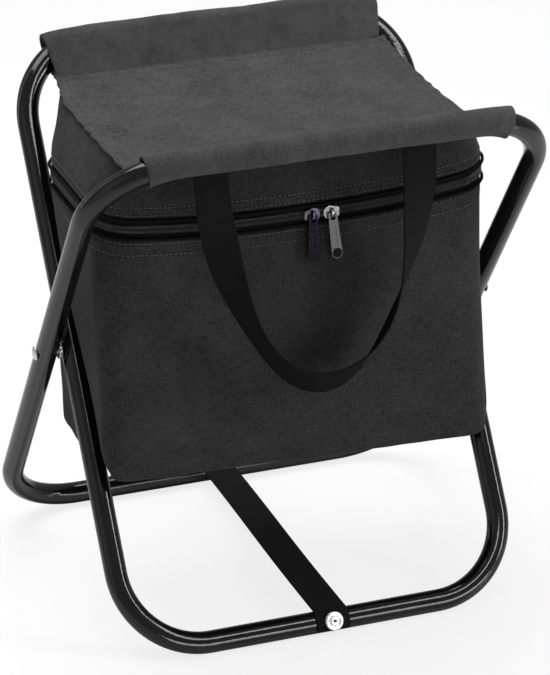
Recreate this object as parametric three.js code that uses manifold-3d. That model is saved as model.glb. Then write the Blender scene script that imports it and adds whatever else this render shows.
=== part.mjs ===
// A folding stool with a cooler bag under its seat: two round-tube loops crossed like scissors, a fabric
// seat slung between their top bars, an insulated bag with a zip on three sides sewn under the seat, a
// webbing carry handle, and a floor strap that stops the feet from spreading.
// Millimetres, +Z up, the front towards -Y. The origin is on the floor, midway between the feet.
import * as THREE from "three";
import { mergeVertices } from "three/addons/utils/BufferGeometryUtils.js";
import Module from "manifold-3d";

const wasm = await Module();
wasm.setup();

// Clearances and the overrun that every cut shares
const seatGap = 0.3;
const cutOverrun = 4;
const weldDistance = 0.0002;

// Steel tube of both frames
const tubeDiameter = 16;
const tubeWall = 1;
const tubeSides = 20;
const boreSides = 12;

// The two loops: the outer one has its top bar in front, the inner one its top bar behind
const outerLoopWidth = 330;
const legGap = 3.2;
const footSpan = 252;
const barRise = 367;
const bendRadius = 59;
const bendSteps = 8;

// Pivot rivets, one through each pair of crossing legs
const pivotShank = 5;
const pivotHeadDiameter = 10;
const pivotHeadHeight = 1.8;
const pivotTailDiameter = 8;
const pivotTailHeight = 1.3;
const spacerDiameter = 13;
const roundSides = 20;

// Fabric
const clothThickness = 1.2;
const seatSideRoom = 34;
const seatEdgeCurve = 3.5;
const seatNarrowsFrom = 50;
const seatSag = 3;
const seatCrossDip = 1;
const seatStations = 12;
const seatColumns = 8;
const stitchInset = 26;
const stitchDrop = 17.5;
const hemOverlap = 5;
const hemSides = 24;
const hemBendSteps = 3;
const hemSlackShare = 0.3;
const hemEndLean = 4;
const frontHemRoomLeft = 34;
const frontHemRoomRight = 33;
const rearHemRoomLeft = 21.8;
const rearHemRoomRight = 14.8;

// Lid: a skirt under the seat that bulges out and runs down to the zip, with a padded inner panel
const lidTopInset = 2;
const lidTopFront = 60;
const lidTopRear = 78;
const lidTopCorner = 20;
const lidTopRearCorner = 9;
const lidPanelRearRoom = 9;
const lidPadThickness = 5;
const liningThickness = 0.6;
const lidLevels = 6;

// Bag under the zip, measured outside
const bagProudOfLegs = 8.2;
const bagFront = 66;
const bagRear = 60;
const bagCorner = 25;
const bagLowCorner = 12;
const bagFrontBelly = 14;
const bagRearBelly = 6;
const seamToBag = 56.5;
const bagHeight = 189;
const bagFoldRadius = 7;
const padThickness = 4;
const layerGap = 0.8;
const wallLevels = 8;
const sideSteps = 7;
const faceSteps = 6;
const cornerSteps = 4;

// The legs of the inner loop press the sides of the bag in
const legClearance = 0.8;
const dentCore = 12;
const dentReach = 30;

// The zip hangs lower in the middle of the front than at the corners
const zipSag = 11;
const sagFrontY = 56;
const sagBackY = 16;
const sagFloorRise = 90;
const sagShape = 2.4;

// Zip: tapes, coils, and the bound seams above and below
const zipHeight = 16.6;
const zipTapeThickness = 1;
const coilHeight = 2.6;
const coilDepth = 2.4;
const coilGap = 1.6;
const bindingDiameter = 2.4;
const bindingSides = 8;
const hingeStripThickness = 1;
const zipEndShare = 0.06;

// Zip sliders and their pulls
const sliderLength = 12;
const sliderHeight = 10.4;
const sliderTailHeight = 9.6;
const sliderPlateThickness = 1.1;
const sliderLip = 1;
const sliderLipDepth = 1.1;
const dividerLength = 4.5;
const dividerThickness = 0.9;
const bailWidth = 1.7;
const bailWindow = 5.4;
const bailWindowDepth = 2.5;
const bailThickness = 1;
const pullLength = 34;
const pullWidth = 8;
const pullNeckWidth = 6.4;
const pullThickness = 1.3;
const pullEyeWidth = 3.4;
const pullEyeHeight = 4.4;
const pullCornerSize = 1.3;
const pullRecessDepth = 0.4;
const pullRecessMargin = 0.8;
const pullLean = 7;
const pullSwayLeft = -2;
const pullSwayRight = 5;
const sliderMiddle = 17;
const sliderSpacing = 14.2;

// Carry handle of webbing, hung from the seam of the front hem
const webbingWidth = 25;
const webbingThickness = 1.6;
const handleHalfSpan = 76;
const handleDrop = 171;
const handleSway = 4;
const handleBottomTurn = 32;
const handleSideTurn = 175;
const handleLead = 6;
const handleSteps = 36;

// Floor strap between the two bottom bars, riveted to the outer face of each
const strapWidth = 25;
const strapThickness = 1.4;
const strapShift = 3;
const strapSteps = 7;
const strapEndTurn = 24;
const strapRivetTurn = 24;
const strapShank = 4;
const strapRivetHead = 7;
const strapRivetHeadHeight = 1.2;
const strapRivetBore = 1.6;
const strapWasherDiameter = 13.6;
const strapWasherThickness = 0.9;
const strapWasherRidge = 0.8;
const strapRivetTail = 2.4;
const strapRivetTailDiameter = 5.6;

// Places worked out from the sizes above
const tubeRadius = tubeDiameter / 2;
const footY = footSpan / 2;
const barLowZ = tubeRadius;
const barHighZ = barLowZ + barRise;
const pivotZ = (barLowZ + barHighZ) / 2;
const legLength = Math.hypot(footSpan, barRise);
const legTilt = Math.atan2(footSpan, barRise);
const innerLoopWidth = outerLoopWidth - 2 * (tubeDiameter + legGap);
const innerLegInside = innerLoopWidth / 2 - tubeRadius;
const stitchY = footY - stitchInset;
const stitchZ = barHighZ - stitchDrop;
const seatHalfWidth = outerLoopWidth / 2 - seatSideRoom;
const frontHemLeft = frontHemRoomLeft - outerLoopWidth / 2;
const frontHemRight = outerLoopWidth / 2 - frontHemRoomRight;
const rearHemLeft = rearHemRoomLeft - innerLoopWidth / 2;
const rearHemRight = innerLoopWidth / 2 - rearHemRoomRight;
const lidTopHalfWidth = seatHalfWidth - lidTopInset;
const bagHalfWidth = innerLegInside + bagProudOfLegs;
const bagTopZ = stitchZ - seamToBag;
const bagFloorZ = bagTopZ - bagHeight;
const zipTopZ = bagTopZ + zipHeight;
const zipMiddleZ = (zipTopZ + bagTopZ) / 2;
const lidTopZ = stitchZ - seatSag - seatCrossDip - clothThickness - seatGap;
const dentDepth = bagHalfWidth - (innerLegInside - pivotTailHeight - seatGap - legClearance);

const steelBlack = { color: 0x0b0b0c, roughness: 0.22, metalness: 0.55 };
const rivetSilver = { color: 0xc9cacc, roughness: 0.28, metalness: 1 };
const clothGrey = { color: 0x3a3a3c, roughness: 0.9, metalness: 0 };
const webbingBlack = { color: 0x161617, roughness: 0.8, metalness: 0 };
const zipBlack = { color: 0x0e0e0f, roughness: 0.6, metalness: 0 };
const pullDark = { color: 0x55505c, roughness: 0.35, metalness: 0.9 };
const foilSilver = { color: 0xb9bcbf, roughness: 0.3, metalness: 0.8 };
const foamWhite = { color: 0xdadada, roughness: 0.95, metalness: 0 };

const stool = new THREE.Group();

function addPiece(name, geometry, finish, parent = stool) {
  const mesh = new THREE.Mesh(geometry, new THREE.MeshStandardMaterial(finish));
  mesh.name = name;
  parent.add(mesh);
  return mesh;
}

// Solids for joining and cutting

function solidFrom(geometry) {
  const bare = new THREE.BufferGeometry();
  const source = geometry.index ? geometry.toNonIndexed() : geometry;
  bare.setAttribute("position", source.getAttribute("position").clone());
  const merged = mergeVertices(bare, weldDistance);
  return new wasm.Manifold(
    new wasm.Mesh({
      numProp: 3,
      vertProperties: merged.attributes.position.array,
      triVerts: new Uint32Array(merged.index.array),
    }),
  );
}

function geometryFrom(solid) {
  const mesh = solid.getMesh();
  const points = new Float32Array(mesh.numVert * 3);
  for (let i = 0; i < mesh.numVert; i++) {
    points.set(mesh.vertProperties.subarray(i * mesh.numProp, i * mesh.numProp + 3), i * 3);
  }
  return new THREE.BufferGeometry()
    .setAttribute("position", new THREE.BufferAttribute(points, 3))
    .setIndex(new THREE.BufferAttribute(mesh.triVerts, 1));
}

function cut(geometry, ...cutters) {
  const solid = cutters.reduce((left, cutter) => left.subtract(solidFrom(cutter)), solidFrom(geometry));
  return geometryFrom(solid);
}

function join(geometry, ...others) {
  const solid = others.reduce((left, other) => left.add(solidFrom(other)), solidFrom(geometry));
  return geometryFrom(solid);
}

// Turns the faces of a closed surface outwards
function facingOut(points, faces) {
  const volume = faces.reduce((sum, [a, b, c]) => {
    return sum + points[a].dot(new THREE.Vector3().crossVectors(points[b], points[c]));
  }, 0);
  const turned = volume < 0 ? faces.map(([a, b, c]) => [a, c, b]) : faces;
  const geometry = new THREE.BufferGeometry().setFromPoints(points);
  geometry.setIndex(turned.flat());
  return geometry;
}

// A closed skin over rings of points, each ring with as many points as the last. Each four-sided patch is
// split along its shorter diagonal. Rings either close on the first one, or end in a flat fan at both ends.
function loft(rings, closesOnItself = false) {
  const around = rings[0].length;
  const points = rings.flat().map((point) => point.clone());
  const faces = [];
  const spans = closesOnItself ? rings.length : rings.length - 1;
  for (let i = 0; i < spans; i++) {
    const here = i * around;
    const next = ((i + 1) % rings.length) * around;
    for (let k = 0; k < around; k++) {
      const after = (k + 1) % around;
      const [a, b, c, d] = [here + k, here + after, next + after, next + k];
      const straightOver = points[a].distanceTo(points[c]) <= points[b].distanceTo(points[d]);
      faces.push(...(straightOver ? [[a, b, c], [a, c, d]] : [[a, b, d], [b, c, d]]));
    }
  }
  if (!closesOnItself) {
    [0, rings.length - 1].forEach((ring) => {
      const middle = points.length;
      const total = rings[ring].reduce((sum, point) => sum.add(point), new THREE.Vector3());
      points.push(total.divideScalar(around));
      for (let k = 0; k < around; k++) {
        const first = ring * around + k;
        const second = ring * around + ((k + 1) % around);
        faces.push(ring === 0 ? [middle, second, first] : [middle, first, second]);
      }
    });
  }
  return facingOut(points, faces);
}

// A solid of revolution about the X axis from [distance along X, radius] points, or about another direction
function turned(profile, direction = new THREE.Vector3(1, 0, 0), sides = roundSides) {
  const outline = profile.map(([along, radius]) => new THREE.Vector2(radius, along));
  const geometry = new THREE.LatheGeometry(outline, sides);
  geometry.applyQuaternion(
    new THREE.Quaternion().setFromUnitVectors(new THREE.Vector3(0, 1, 0), direction.clone().normalize()),
  );
  return facingOutGeometry(geometry);
}

function facingOutGeometry(geometry) {
  const bare = new THREE.BufferGeometry();
  bare.setAttribute("position", geometry.getAttribute("position"));
  bare.setIndex(geometry.index);
  const merged = mergeVertices(bare, weldDistance);
  const position = merged.getAttribute("position");
  const points = [];
  for (let i = 0; i < position.count; i++) {
    points.push(new THREE.Vector3().fromBufferAttribute(position, i));
  }
  const faces = [];
  for (let i = 0; i < merged.index.count; i += 3) {
    const face = [merged.index.getX(i), merged.index.getX(i + 1), merged.index.getX(i + 2)];
    if (new Set(face).size === 3) faces.push(face);
  }
  return facingOut(points, faces);
}

// Frames

// Stations round a loop in its own plane: across, up its length, and the direction that points outwards
function loopStations(width, length) {
  const stations = [];
  const corners = [
    [1, 1],
    [-1, 1],
    [-1, -1],
    [1, -1],
  ];
  corners.forEach(([sideX, sideUp], quarter) => {
    const middleX = sideX * (width / 2 - bendRadius);
    const middleUp = sideUp * (length / 2 - bendRadius);
    for (let step = 0; step <= bendSteps; step++) {
      const angle = (quarter + step / bendSteps) * (Math.PI / 2);
      const out = new THREE.Vector2(Math.cos(angle), Math.sin(angle));
      stations.push({ x: middleX + bendRadius * out.x, up: middleUp + bendRadius * out.y, out });
    }
  });
  return stations;
}

// The skin of a loop of tube. Its flats are circumscribed, and one of them lies level under the bottom bar.
function loopSkin(width, radius, sides, lean) {
  const upward = new THREE.Vector3(0, lean * Math.sin(legTilt), Math.cos(legTilt));
  const normal = new THREE.Vector3().crossVectors(new THREE.Vector3(1, 0, 0), upward);
  const middle = new THREE.Vector3(0, 0, pivotZ);
  const cornerRadius = radius / Math.cos(Math.PI / sides);
  const rings = loopStations(width, legLength).map(({ x, up, out }) => {
    const centre = middle.clone().addScaledVector(upward, up).setX(x);
    const outward = upward.clone().multiplyScalar(out.y).setX(out.x);
    return Array.from({ length: sides }, (_, k) => {
      const angle = ((k + 0.5) / sides) * 2 * Math.PI - lean * legTilt;
      return centre
        .clone()
        .addScaledVector(outward, cornerRadius * Math.cos(angle))
        .addScaledVector(normal, cornerRadius * Math.sin(angle));
    });
  });
  return loft(rings, true);
}

function pivotBore(x) {
  const reach = tubeRadius + cutOverrun;
  const radius = pivotShank / 2 + seatGap;
  const bore = turned([
    [-reach, 0],
    [-reach, radius],
    [reach, radius],
    [reach, 0],
  ]);
  return bore.translate(x, 0, pivotZ);
}

// The direction from a bottom bar's axis through its strap rivet
function strapRivetDirection(side) {
  const turn = THREE.MathUtils.degToRad(strapRivetTurn);
  return new THREE.Vector3(0, side * Math.cos(turn), Math.sin(turn));
}

function strapBore(side) {
  const radius = strapShank / 2 + seatGap;
  const bore = turned(
    [
      [0, 0],
      [0, radius],
      [tubeDiameter, radius],
      [tubeDiameter, 0],
    ],
    strapRivetDirection(side),
  );
  return bore.translate(strapShift, side * footY, barLowZ);
}

function frameLoop(width, lean, strapSide) {
  const outside = loopSkin(width, tubeRadius, tubeSides, lean);
  const inside = loopSkin(width, tubeRadius - tubeWall, boreSides, lean);
  return cut(outside, inside, pivotBore(-width / 2), pivotBore(width / 2), strapBore(strapSide));
}

addPiece("outer_frame_tube", frameLoop(outerLoopWidth, -1, 1), steelBlack);
addPiece("inner_frame_tube", frameLoop(innerLoopWidth, 1, -1), steelBlack);

// Pivot rivets with their spacers between the legs

function domeProfile(from, height, radius, steps = 4) {
  return Array.from({ length: steps + 1 }, (_, i) => {
    const angle = (i / steps) * (Math.PI / 2);
    return [from + height * Math.cos(angle), radius * Math.sin(angle)];
  });
}

function pivotRivet(side) {
  const tailFace = innerLegInside - seatGap;
  const headFace = outerLoopWidth / 2 + tubeRadius + seatGap;
  const shank = pivotShank / 2;
  const profile = [
    ...domeProfile(headFace, pivotHeadHeight, pivotHeadDiameter / 2),
    [headFace, shank],
    [tailFace, shank],
    [tailFace, pivotTailDiameter / 2],
    [tailFace - pivotTailHeight, pivotTailDiameter / 2 - pivotTailHeight / 2],
    [tailFace - pivotTailHeight, 0],
  ];
  return turned(profile, new THREE.Vector3(side, 0, 0)).translate(0, 0, pivotZ);
}

function pivotSpacer(side) {
  const from = innerLoopWidth / 2 + tubeRadius + seatGap;
  const to = from + legGap - 2 * seatGap;
  const bore = pivotShank / 2 + seatGap;
  const profile = [
    [from, bore],
    [from, spacerDiameter / 2],
    [to, spacerDiameter / 2],
    [to, bore],
    [from, bore],
  ];
  return turned(profile, new THREE.Vector3(side, 0, 0)).translate(0, 0, pivotZ);
}

[
  ["left", -1],
  ["right", 1],
].forEach(([word, side]) => {
  addPiece(`pivot_rivet_${word}`, pivotRivet(side), rivetSilver);
  addPiece(`pivot_spacer_${word}`, pivotSpacer(side), rivetSilver);
});

// Hems: sleeves of cloth round the top bars, drawn down to a stitched tail at the edge of the seat

// The outline round a set of [y, z, radius] circles, one place for each direction round it
function wrapped(circles, thickness, x) {
  return Array.from({ length: hemSides }, (_, k) => {
    const angle = (k / hemSides) * 2 * Math.PI;
    const out = new THREE.Vector2(Math.cos(angle), Math.sin(angle));
    const reach = ([y, z, radius]) => y * out.x + z * out.y + radius;
    const [y, z, radius] = circles.reduce((best, circle) => (reach(circle) > reach(best) ? circle : best));
    return new THREE.Vector3(x, y + (radius + thickness) * out.x, z + (radius + thickness) * out.y);
  });
}

// Where the tube stands at a distance along X: how far it has come down its bend, and how long its section is
function bendAt(width, x) {
  const along = Math.max(Math.abs(x) - (width / 2 - bendRadius), 0);
  const turn = Math.asin(along / bendRadius);
  return { drop: bendRadius * (1 - Math.cos(turn)), stretch: 1 / Math.cos(turn) };
}

const tailZ = stitchZ - clothThickness / 2;
const tailY = stitchY + clothThickness;

// A hem follows its bar and keeps some slack over each bend. Its end leans out from the seam to the top.
function hem(side, width, left, right) {
  const bore = tubeRadius / Math.cos(Math.PI / tubeSides) + seatGap;
  const downLeg = new THREE.Vector2(-side * Math.sin(legTilt), -Math.cos(legTilt));
  const towardsSeam = new THREE.Vector2(side * (tailY - footY), tailZ - barHighZ).normalize();
  const straight = width / 2 - bendRadius;
  const bendStations = (end) =>
    Array.from({ length: hemBendSteps + 1 }, (_, i) => {
      const from = Math.sign(end) * straight;
      return from + ((end - from) * i) / hemBendSteps;
    });
  const stations = [...bendStations(left).reverse(), ...bendStations(right)];
  const circlesAt = (x, seamStep) => {
    const { drop, stretch } = bendAt(width, x);
    const bar = new THREE.Vector2(side * footY, barHighZ);
    const slack = bar.clone().addScaledVector(downLeg, drop * hemSlackShare);
    const tube = bar.clone().addScaledVector(downLeg, drop);
    const spread = bore * (stretch - 1);
    const low = tube.clone().addScaledVector(downLeg, spread);
    const high = tube.clone().addScaledVector(downLeg, -spread);
    const seam = new THREE.Vector2(side * tailY, tailZ).addScaledVector(towardsSeam, -seamStep);
    return [
      [slack.x, slack.y, bore],
      [high.x, high.y, bore],
      [low.x, low.y, bore],
      [seam.x, seam.y, 0],
    ];
  };
  const ringsOf = (thickness, seamStep) =>
    stations.map((x) => {
      const beyond = THREE.MathUtils.clamp((Math.abs(x) - straight) / (Math.abs(right) - straight), 0, 1);
      return wrapped(circlesAt(x, seamStep), thickness, x).map((point) => {
        const height = (point.z - tailZ) / (barHighZ - tailZ);
        return point.setX(x + Math.sign(x) * hemEndLean * beyond * (height - 1));
      });
    });
  const outside = ringsOf(clothThickness, 0);
  const inside = ringsOf(0, hemOverlap).reverse();
  return loft([...outside, ...inside], true);
}

addPiece("front_hem", hem(-1, outerLoopWidth, frontHemLeft, frontHemRight), clothGrey);
addPiece("rear_hem", hem(1, innerLoopWidth, rearHemLeft, rearHemRight), clothGrey);

// Seat panel from stitch line to stitch line, sagging in the middle, with drawn-in side edges

function seatSurfaceZ(x, y) {
  const along = 1 - (y / stitchY) ** 2;
  const across = 1 - (x / seatHalfWidth) ** 2;
  return stitchZ - seatSag * along - seatCrossDip * along * across;
}

// The left edge narrows to the end of the rear hem, and the right one is drawn in midway
function seatPanel() {
  const reach = stitchY - seatGap;
  const narrowing = seatHalfWidth + rearHemLeft;
  const rings = Array.from({ length: seatStations + 1 }, (_, i) => {
    const y = -reach + (2 * reach * i) / seatStations;
    const left = narrowing * THREE.MathUtils.smoothstep(y, seatNarrowsFrom, stitchY) - seatHalfWidth;
    const right = seatHalfWidth - seatEdgeCurve * (1 - (y / stitchY) ** 2);
    const top = Array.from({ length: seatColumns + 1 }, (_, k) => {
      const x = THREE.MathUtils.lerp(left, right, k / seatColumns);
      return new THREE.Vector3(x, y, seatSurfaceZ(x, y));
    });
    const underside = top.map((point) => point.clone().setZ(point.z - clothThickness)).reverse();
    return [...top, ...underside];
  });
  return loft(rings);
}

addPiece("seat_panel", seatPanel(), clothGrey);

// Bag and lid: rounded plan outlines stacked up the walls

// Places round a rounded rectangle with the direction outwards at each, from the right end of the rear face
// past the left side, the front and the right side
function planOutline({ half, front, rear, corner, rearCorner = corner }) {
  const places = [];
  const line = (fromX, fromY, toX, toY, steps, outX, outY) => {
    for (let i = 0; i < steps; i++) {
      const x = THREE.MathUtils.lerp(fromX, toX, i / steps);
      const y = THREE.MathUtils.lerp(fromY, toY, i / steps);
      places.push({ x, y, outX, outY });
    }
  };
  const arc = (middleX, middleY, radius, start) => {
    for (let i = 0; i < cornerSteps; i++) {
      const angle = start + (i / cornerSteps) * (Math.PI / 2);
      const outX = Math.cos(angle);
      const outY = Math.sin(angle);
      places.push({ x: middleX + radius * outX, y: middleY + radius * outY, outX, outY });
    }
  };
  line(half - rearCorner, rear, rearCorner - half, rear, faceSteps, 0, 1);
  arc(rearCorner - half, rear - rearCorner, rearCorner, Math.PI / 2);
  line(-half, rear - rearCorner, -half, corner - front, sideSteps, -1, 0);
  arc(corner - half, corner - front, corner, Math.PI);
  line(corner - half, -front, half - corner, -front, faceSteps, 0, -1);
  arc(half - corner, corner - front, corner, -Math.PI / 2);
  line(half, corner - front, half, rear - rearCorner, sideSteps, 1, 0);
  arc(half - rearCorner, rear - rearCorner, rearCorner, 0);
  return places;
}

// How far the side of the bag is pushed in at a place beside the slanted legs of the inner loop
function legDent(x, y, z) {
  const away = Math.abs(Math.cos(legTilt) * y - Math.sin(legTilt) * (z - pivotZ));
  const beside = THREE.MathUtils.smoothstep(Math.abs(x), bagHalfWidth / 2, innerLegInside - bagCorner);
  return dentDepth * beside * (1 - THREE.MathUtils.smoothstep(away, dentCore, dentReach));
}

// How far the cloth hangs below its level at a place on the front
function sagAt(x, y, z) {
  const across = 1 - Math.min(Math.abs(x) / bagHalfWidth, 1) ** sagShape;
  const infront = THREE.MathUtils.smoothstep(-y, sagBackY, sagFrontY);
  const fromFloor = THREE.MathUtils.clamp((z - bagTopZ + sagFloorRise) / sagFloorRise, 0, 1);
  const fromSeat = THREE.MathUtils.clamp((lidTopZ - z) / (lidTopZ - zipTopZ), 0, 1);
  return zipSag * across * infront * fromFloor * fromSeat;
}

// A ring of the outline at a height, drawn in towards the inside by some inset
function outlineRing(plan, z, inset) {
  return planOutline(plan).map(({ x, y, outX, outY }) => {
    const push = legDent(x, y, z);
    const inX = x - Math.sign(x) * push - inset * outX;
    const inY = y - inset * outY;
    return new THREE.Vector3(inX, inY, z - sagAt(x, y, z));
  });
}

// The bag's faces belly out towards the floor, and its corners grow sharper; fold is how far the bend above
// the floor has turned in
function bagRing(z, inset, fold = 0) {
  const down = THREE.MathUtils.clamp((bagTopZ - z) / bagHeight, 0, 1);
  const plan = {
    half: bagHalfWidth - fold,
    front: bagFront + bagFrontBelly * down - fold,
    rear: bagRear + bagRearBelly * down - fold,
    corner: THREE.MathUtils.lerp(bagCorner, bagLowCorner, down),
  };
  return outlineRing(plan, z, inset);
}

const bagPadInset = clothThickness + layerGap;
const bagLiningInset = bagPadInset + padThickness + layerGap;
const wallLowZ = bagFloorZ + bagLiningInset + liningThickness + bagFoldRadius;

// The rings round the fold from the floor up to the wall, and up the wall to the top
function tubSide(floor, inset) {
  const fold = bagFoldRadius;
  const half = fold * (1 - Math.SQRT1_2);
  const rings = [
    bagRing(floor, inset, fold),
    bagRing(floor + half, inset, half),
    bagRing(floor + fold, inset),
  ];
  for (let i = 1; i <= wallLevels; i++) {
    rings.push(bagRing(THREE.MathUtils.lerp(wallLowZ, bagTopZ, i / wallLevels), inset));
  }
  return rings;
}

// An open-topped tub that follows the bag's outline, some way inside it
function bagTub(inset, thickness) {
  const outside = tubSide(bagFloorZ + inset, inset);
  const inside = tubSide(bagFloorZ + inset + thickness, inset + thickness);
  return loft([...outside, ...inside.reverse()]);
}

addPiece("bag_shell", bagTub(0, clothThickness), clothGrey);
addPiece("bag_insulation", bagTub(bagPadInset, padThickness), foamWhite);
addPiece("bag_lining", bagTub(bagLiningInset, liningThickness), foilSilver);

// Lid skirt: sewn under the seat, it bulges out at once and then hangs down to the zip

function lidPlan(share) {
  const out = Math.sin((share * Math.PI) / 2);
  return {
    half: THREE.MathUtils.lerp(lidTopHalfWidth, bagHalfWidth, out),
    front: THREE.MathUtils.lerp(lidTopFront, bagFront, out),
    rear: THREE.MathUtils.lerp(lidTopRear, bagRear, out),
    corner: THREE.MathUtils.lerp(lidTopCorner, bagCorner, out),
    rearCorner: THREE.MathUtils.lerp(lidTopRearCorner, bagCorner, out),
  };
}

// The top of the skirt follows the underside of the seat
function lidRing(share, inset) {
  const z = THREE.MathUtils.lerp(lidTopZ, zipTopZ, share);
  return outlineRing(lidPlan(share), z, inset).map((point) => {
    const under = seatSurfaceZ(point.x, point.y) - clothThickness - seatGap;
    return point.setZ(point.z + (under - lidTopZ) * (1 - share));
  });
}

function lidSkirt() {
  const shares = Array.from({ length: lidLevels + 1 }, (_, i) => i / lidLevels);
  const outside = shares.map((share) => lidRing(share, 0));
  const inside = shares.map((share) => lidRing(share, clothThickness)).reverse();
  return loft([...outside, ...inside], true);
}

addPiece("lid_skirt", lidSkirt(), clothGrey);

// The padded panel that closes the lid under the seat, and the foil under it; both stay clear of the skirt,
// whose rear slopes in
function lidPanel(top, thickness) {
  const inset = clothThickness + layerGap;
  const plan = { ...lidPlan(0), rear: lidTopRear - lidPanelRearRoom };
  const outline = planOutline(plan).map(({ x, y, outX, outY }) => {
    return [x - Math.sign(x) * legDent(x, y, top) - inset * outX, y - inset * outY];
  });
  return loft([0, thickness].map((down) => outline.map(([x, y]) => new THREE.Vector3(x, y, top - down))));
}

addPiece("lid_insulation", lidPanel(lidTopZ, lidPadThickness), foamWhite);
addPiece("lid_lining", lidPanel(lidTopZ - lidPadThickness - seatGap, liningThickness), foilSilver);

// Zip on the front and both sides

// The outline at the zip, some way outside the bag
function zipOutline(z, offset) {
  const plan = { half: bagHalfWidth, front: bagFront, rear: bagRear, corner: bagCorner };
  return outlineRing(plan, zipMiddleZ, -offset).map((point) => point.setZ(point.z + z - zipMiddleZ));
}

// Places along the zip line from the left rear round the front to the right rear
function zipRoute(z, offset) {
  const points = zipOutline(z, offset);
  return points.slice(faceSteps + cornerSteps / 2, points.length - cornerSteps / 2 + 1);
}

// Places along the rest of the outline, behind, where the lid hangs on to the bag
function hingeRoute(z, offset) {
  const points = zipOutline(z, offset);
  const route = [
    ...points.slice(points.length - cornerSteps / 2),
    ...points.slice(0, faceSteps + cornerSteps / 2 + 1),
  ];
  const last = route.length - 1;
  route[0] = route[0].clone().lerp(route[1], zipEndShare);
  route[last] = route[last].clone().lerp(route[last - 1], zipEndShare);
  return route;
}

// A band with a rectangular section that follows a route between two heights
function zipBand(fromZ, toZ, outerOffset, thickness, routeAt = zipRoute) {
  const corners = [
    routeAt(fromZ, outerOffset),
    routeAt(toZ, outerOffset),
    routeAt(toZ, outerOffset - thickness),
    routeAt(fromZ, outerOffset - thickness),
  ];
  return loft(corners[0].map((_, i) => corners.map((route) => route[i])));
}

// A round cord that follows the zip line
function zipCord(z, offset, diameter) {
  const sections = Array.from({ length: bindingSides }, (_, k) => {
    const angle = (k / bindingSides) * 2 * Math.PI;
    return zipRoute(z + (diameter / 2) * Math.sin(angle), offset + (diameter / 2) * Math.cos(angle));
  });
  return loft(sections[0].map((_, i) => sections.map((route) => route[i])));
}

const coilOffset = coilDepth - clothThickness;
[
  ["upper", 1, zipTopZ],
  ["lower", -1, bagTopZ],
].forEach(([word, way, seamZ]) => {
  const coilFrom = zipMiddleZ + way * (coilGap / 2);
  const coilTo = coilFrom + way * coilHeight;
  const tapeFrom = coilTo + way * seatGap;
  const tapeTo = seamZ - way * seatGap;
  const bottom = Math.min(tapeFrom, tapeTo);
  const top = Math.max(tapeFrom, tapeTo);
  addPiece(`zip_tape_${word}`, zipBand(bottom, top, 0, zipTapeThickness), zipBlack);
  addPiece(
    `zip_coil_${word}`,
    zipBand(Math.min(coilFrom, coilTo), Math.max(coilFrom, coilTo), coilOffset, coilDepth),
    zipBlack,
  );
  const bindingZ = seamZ - way * (bindingDiameter / 2 + seatGap);
  addPiece(
    `zip_binding_${word}`,
    zipCord(bindingZ, bindingDiameter / 2 + seatGap, bindingDiameter),
    zipBlack,
  );
});

addPiece(
  "lid_hinge_strip",
  zipBand(bagTopZ + seatGap, zipTopZ - seatGap, 0, hingeStripThickness, hingeRoute),
  clothGrey,
);

// Zip sliders: two plates over the coils, joined by a divider between them, with a bail for the pull

// A flat outline of [x, z] places, drawn towards the front from one depth to another
function towardsFront(shape, from, to) {
  const geometry = new THREE.ExtrudeGeometry(shape, {
    depth: to - from,
    bevelEnabled: false,
    curveSegments: cornerSteps * 2,
  });
  geometry.translate(0, 0, from);
  geometry.applyMatrix4(
    new THREE.Matrix4().makeBasis(
      new THREE.Vector3(1, 0, 0),
      new THREE.Vector3(0, 0, 1),
      new THREE.Vector3(0, -1, 0),
    ),
  );
  return geometry;
}

// A block between two corners, each given as x, depth towards the front, and z
function block([fromX, from, fromZ], [toX, to, toZ]) {
  const shape = new THREE.Shape([
    new THREE.Vector2(fromX, fromZ),
    new THREE.Vector2(toX, fromZ),
    new THREE.Vector2(toX, toZ),
    new THREE.Vector2(fromX, toZ),
  ]);
  return towardsFront(shape, from, to);
}

// Depths in front of the bag's outline
const coilInnerDepth = coilOffset - coilDepth;
const backPlateDepth = coilInnerDepth - seatGap - sliderPlateThickness;
const frontPlateDepth = coilOffset + seatGap;
const sliderFaceDepth = frontPlateDepth + sliderPlateThickness;
const pullDepth = sliderFaceDepth + bailWindowDepth / 2;

// A slider's plate: a round nose, and a straight taper to the tail
function sliderPlate(from) {
  const half = sliderLength / 2;
  const nose = sliderHeight / 2;
  const tail = sliderTailHeight / 2;
  const shape = new THREE.Shape();
  shape.moveTo(-half, -tail);
  shape.absarc(half - nose, 0, nose, -Math.PI / 2, Math.PI / 2, false);
  shape.lineTo(-half, tail);
  shape.closePath();
  return towardsFront(shape, from, from + sliderPlateThickness);
}

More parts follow.
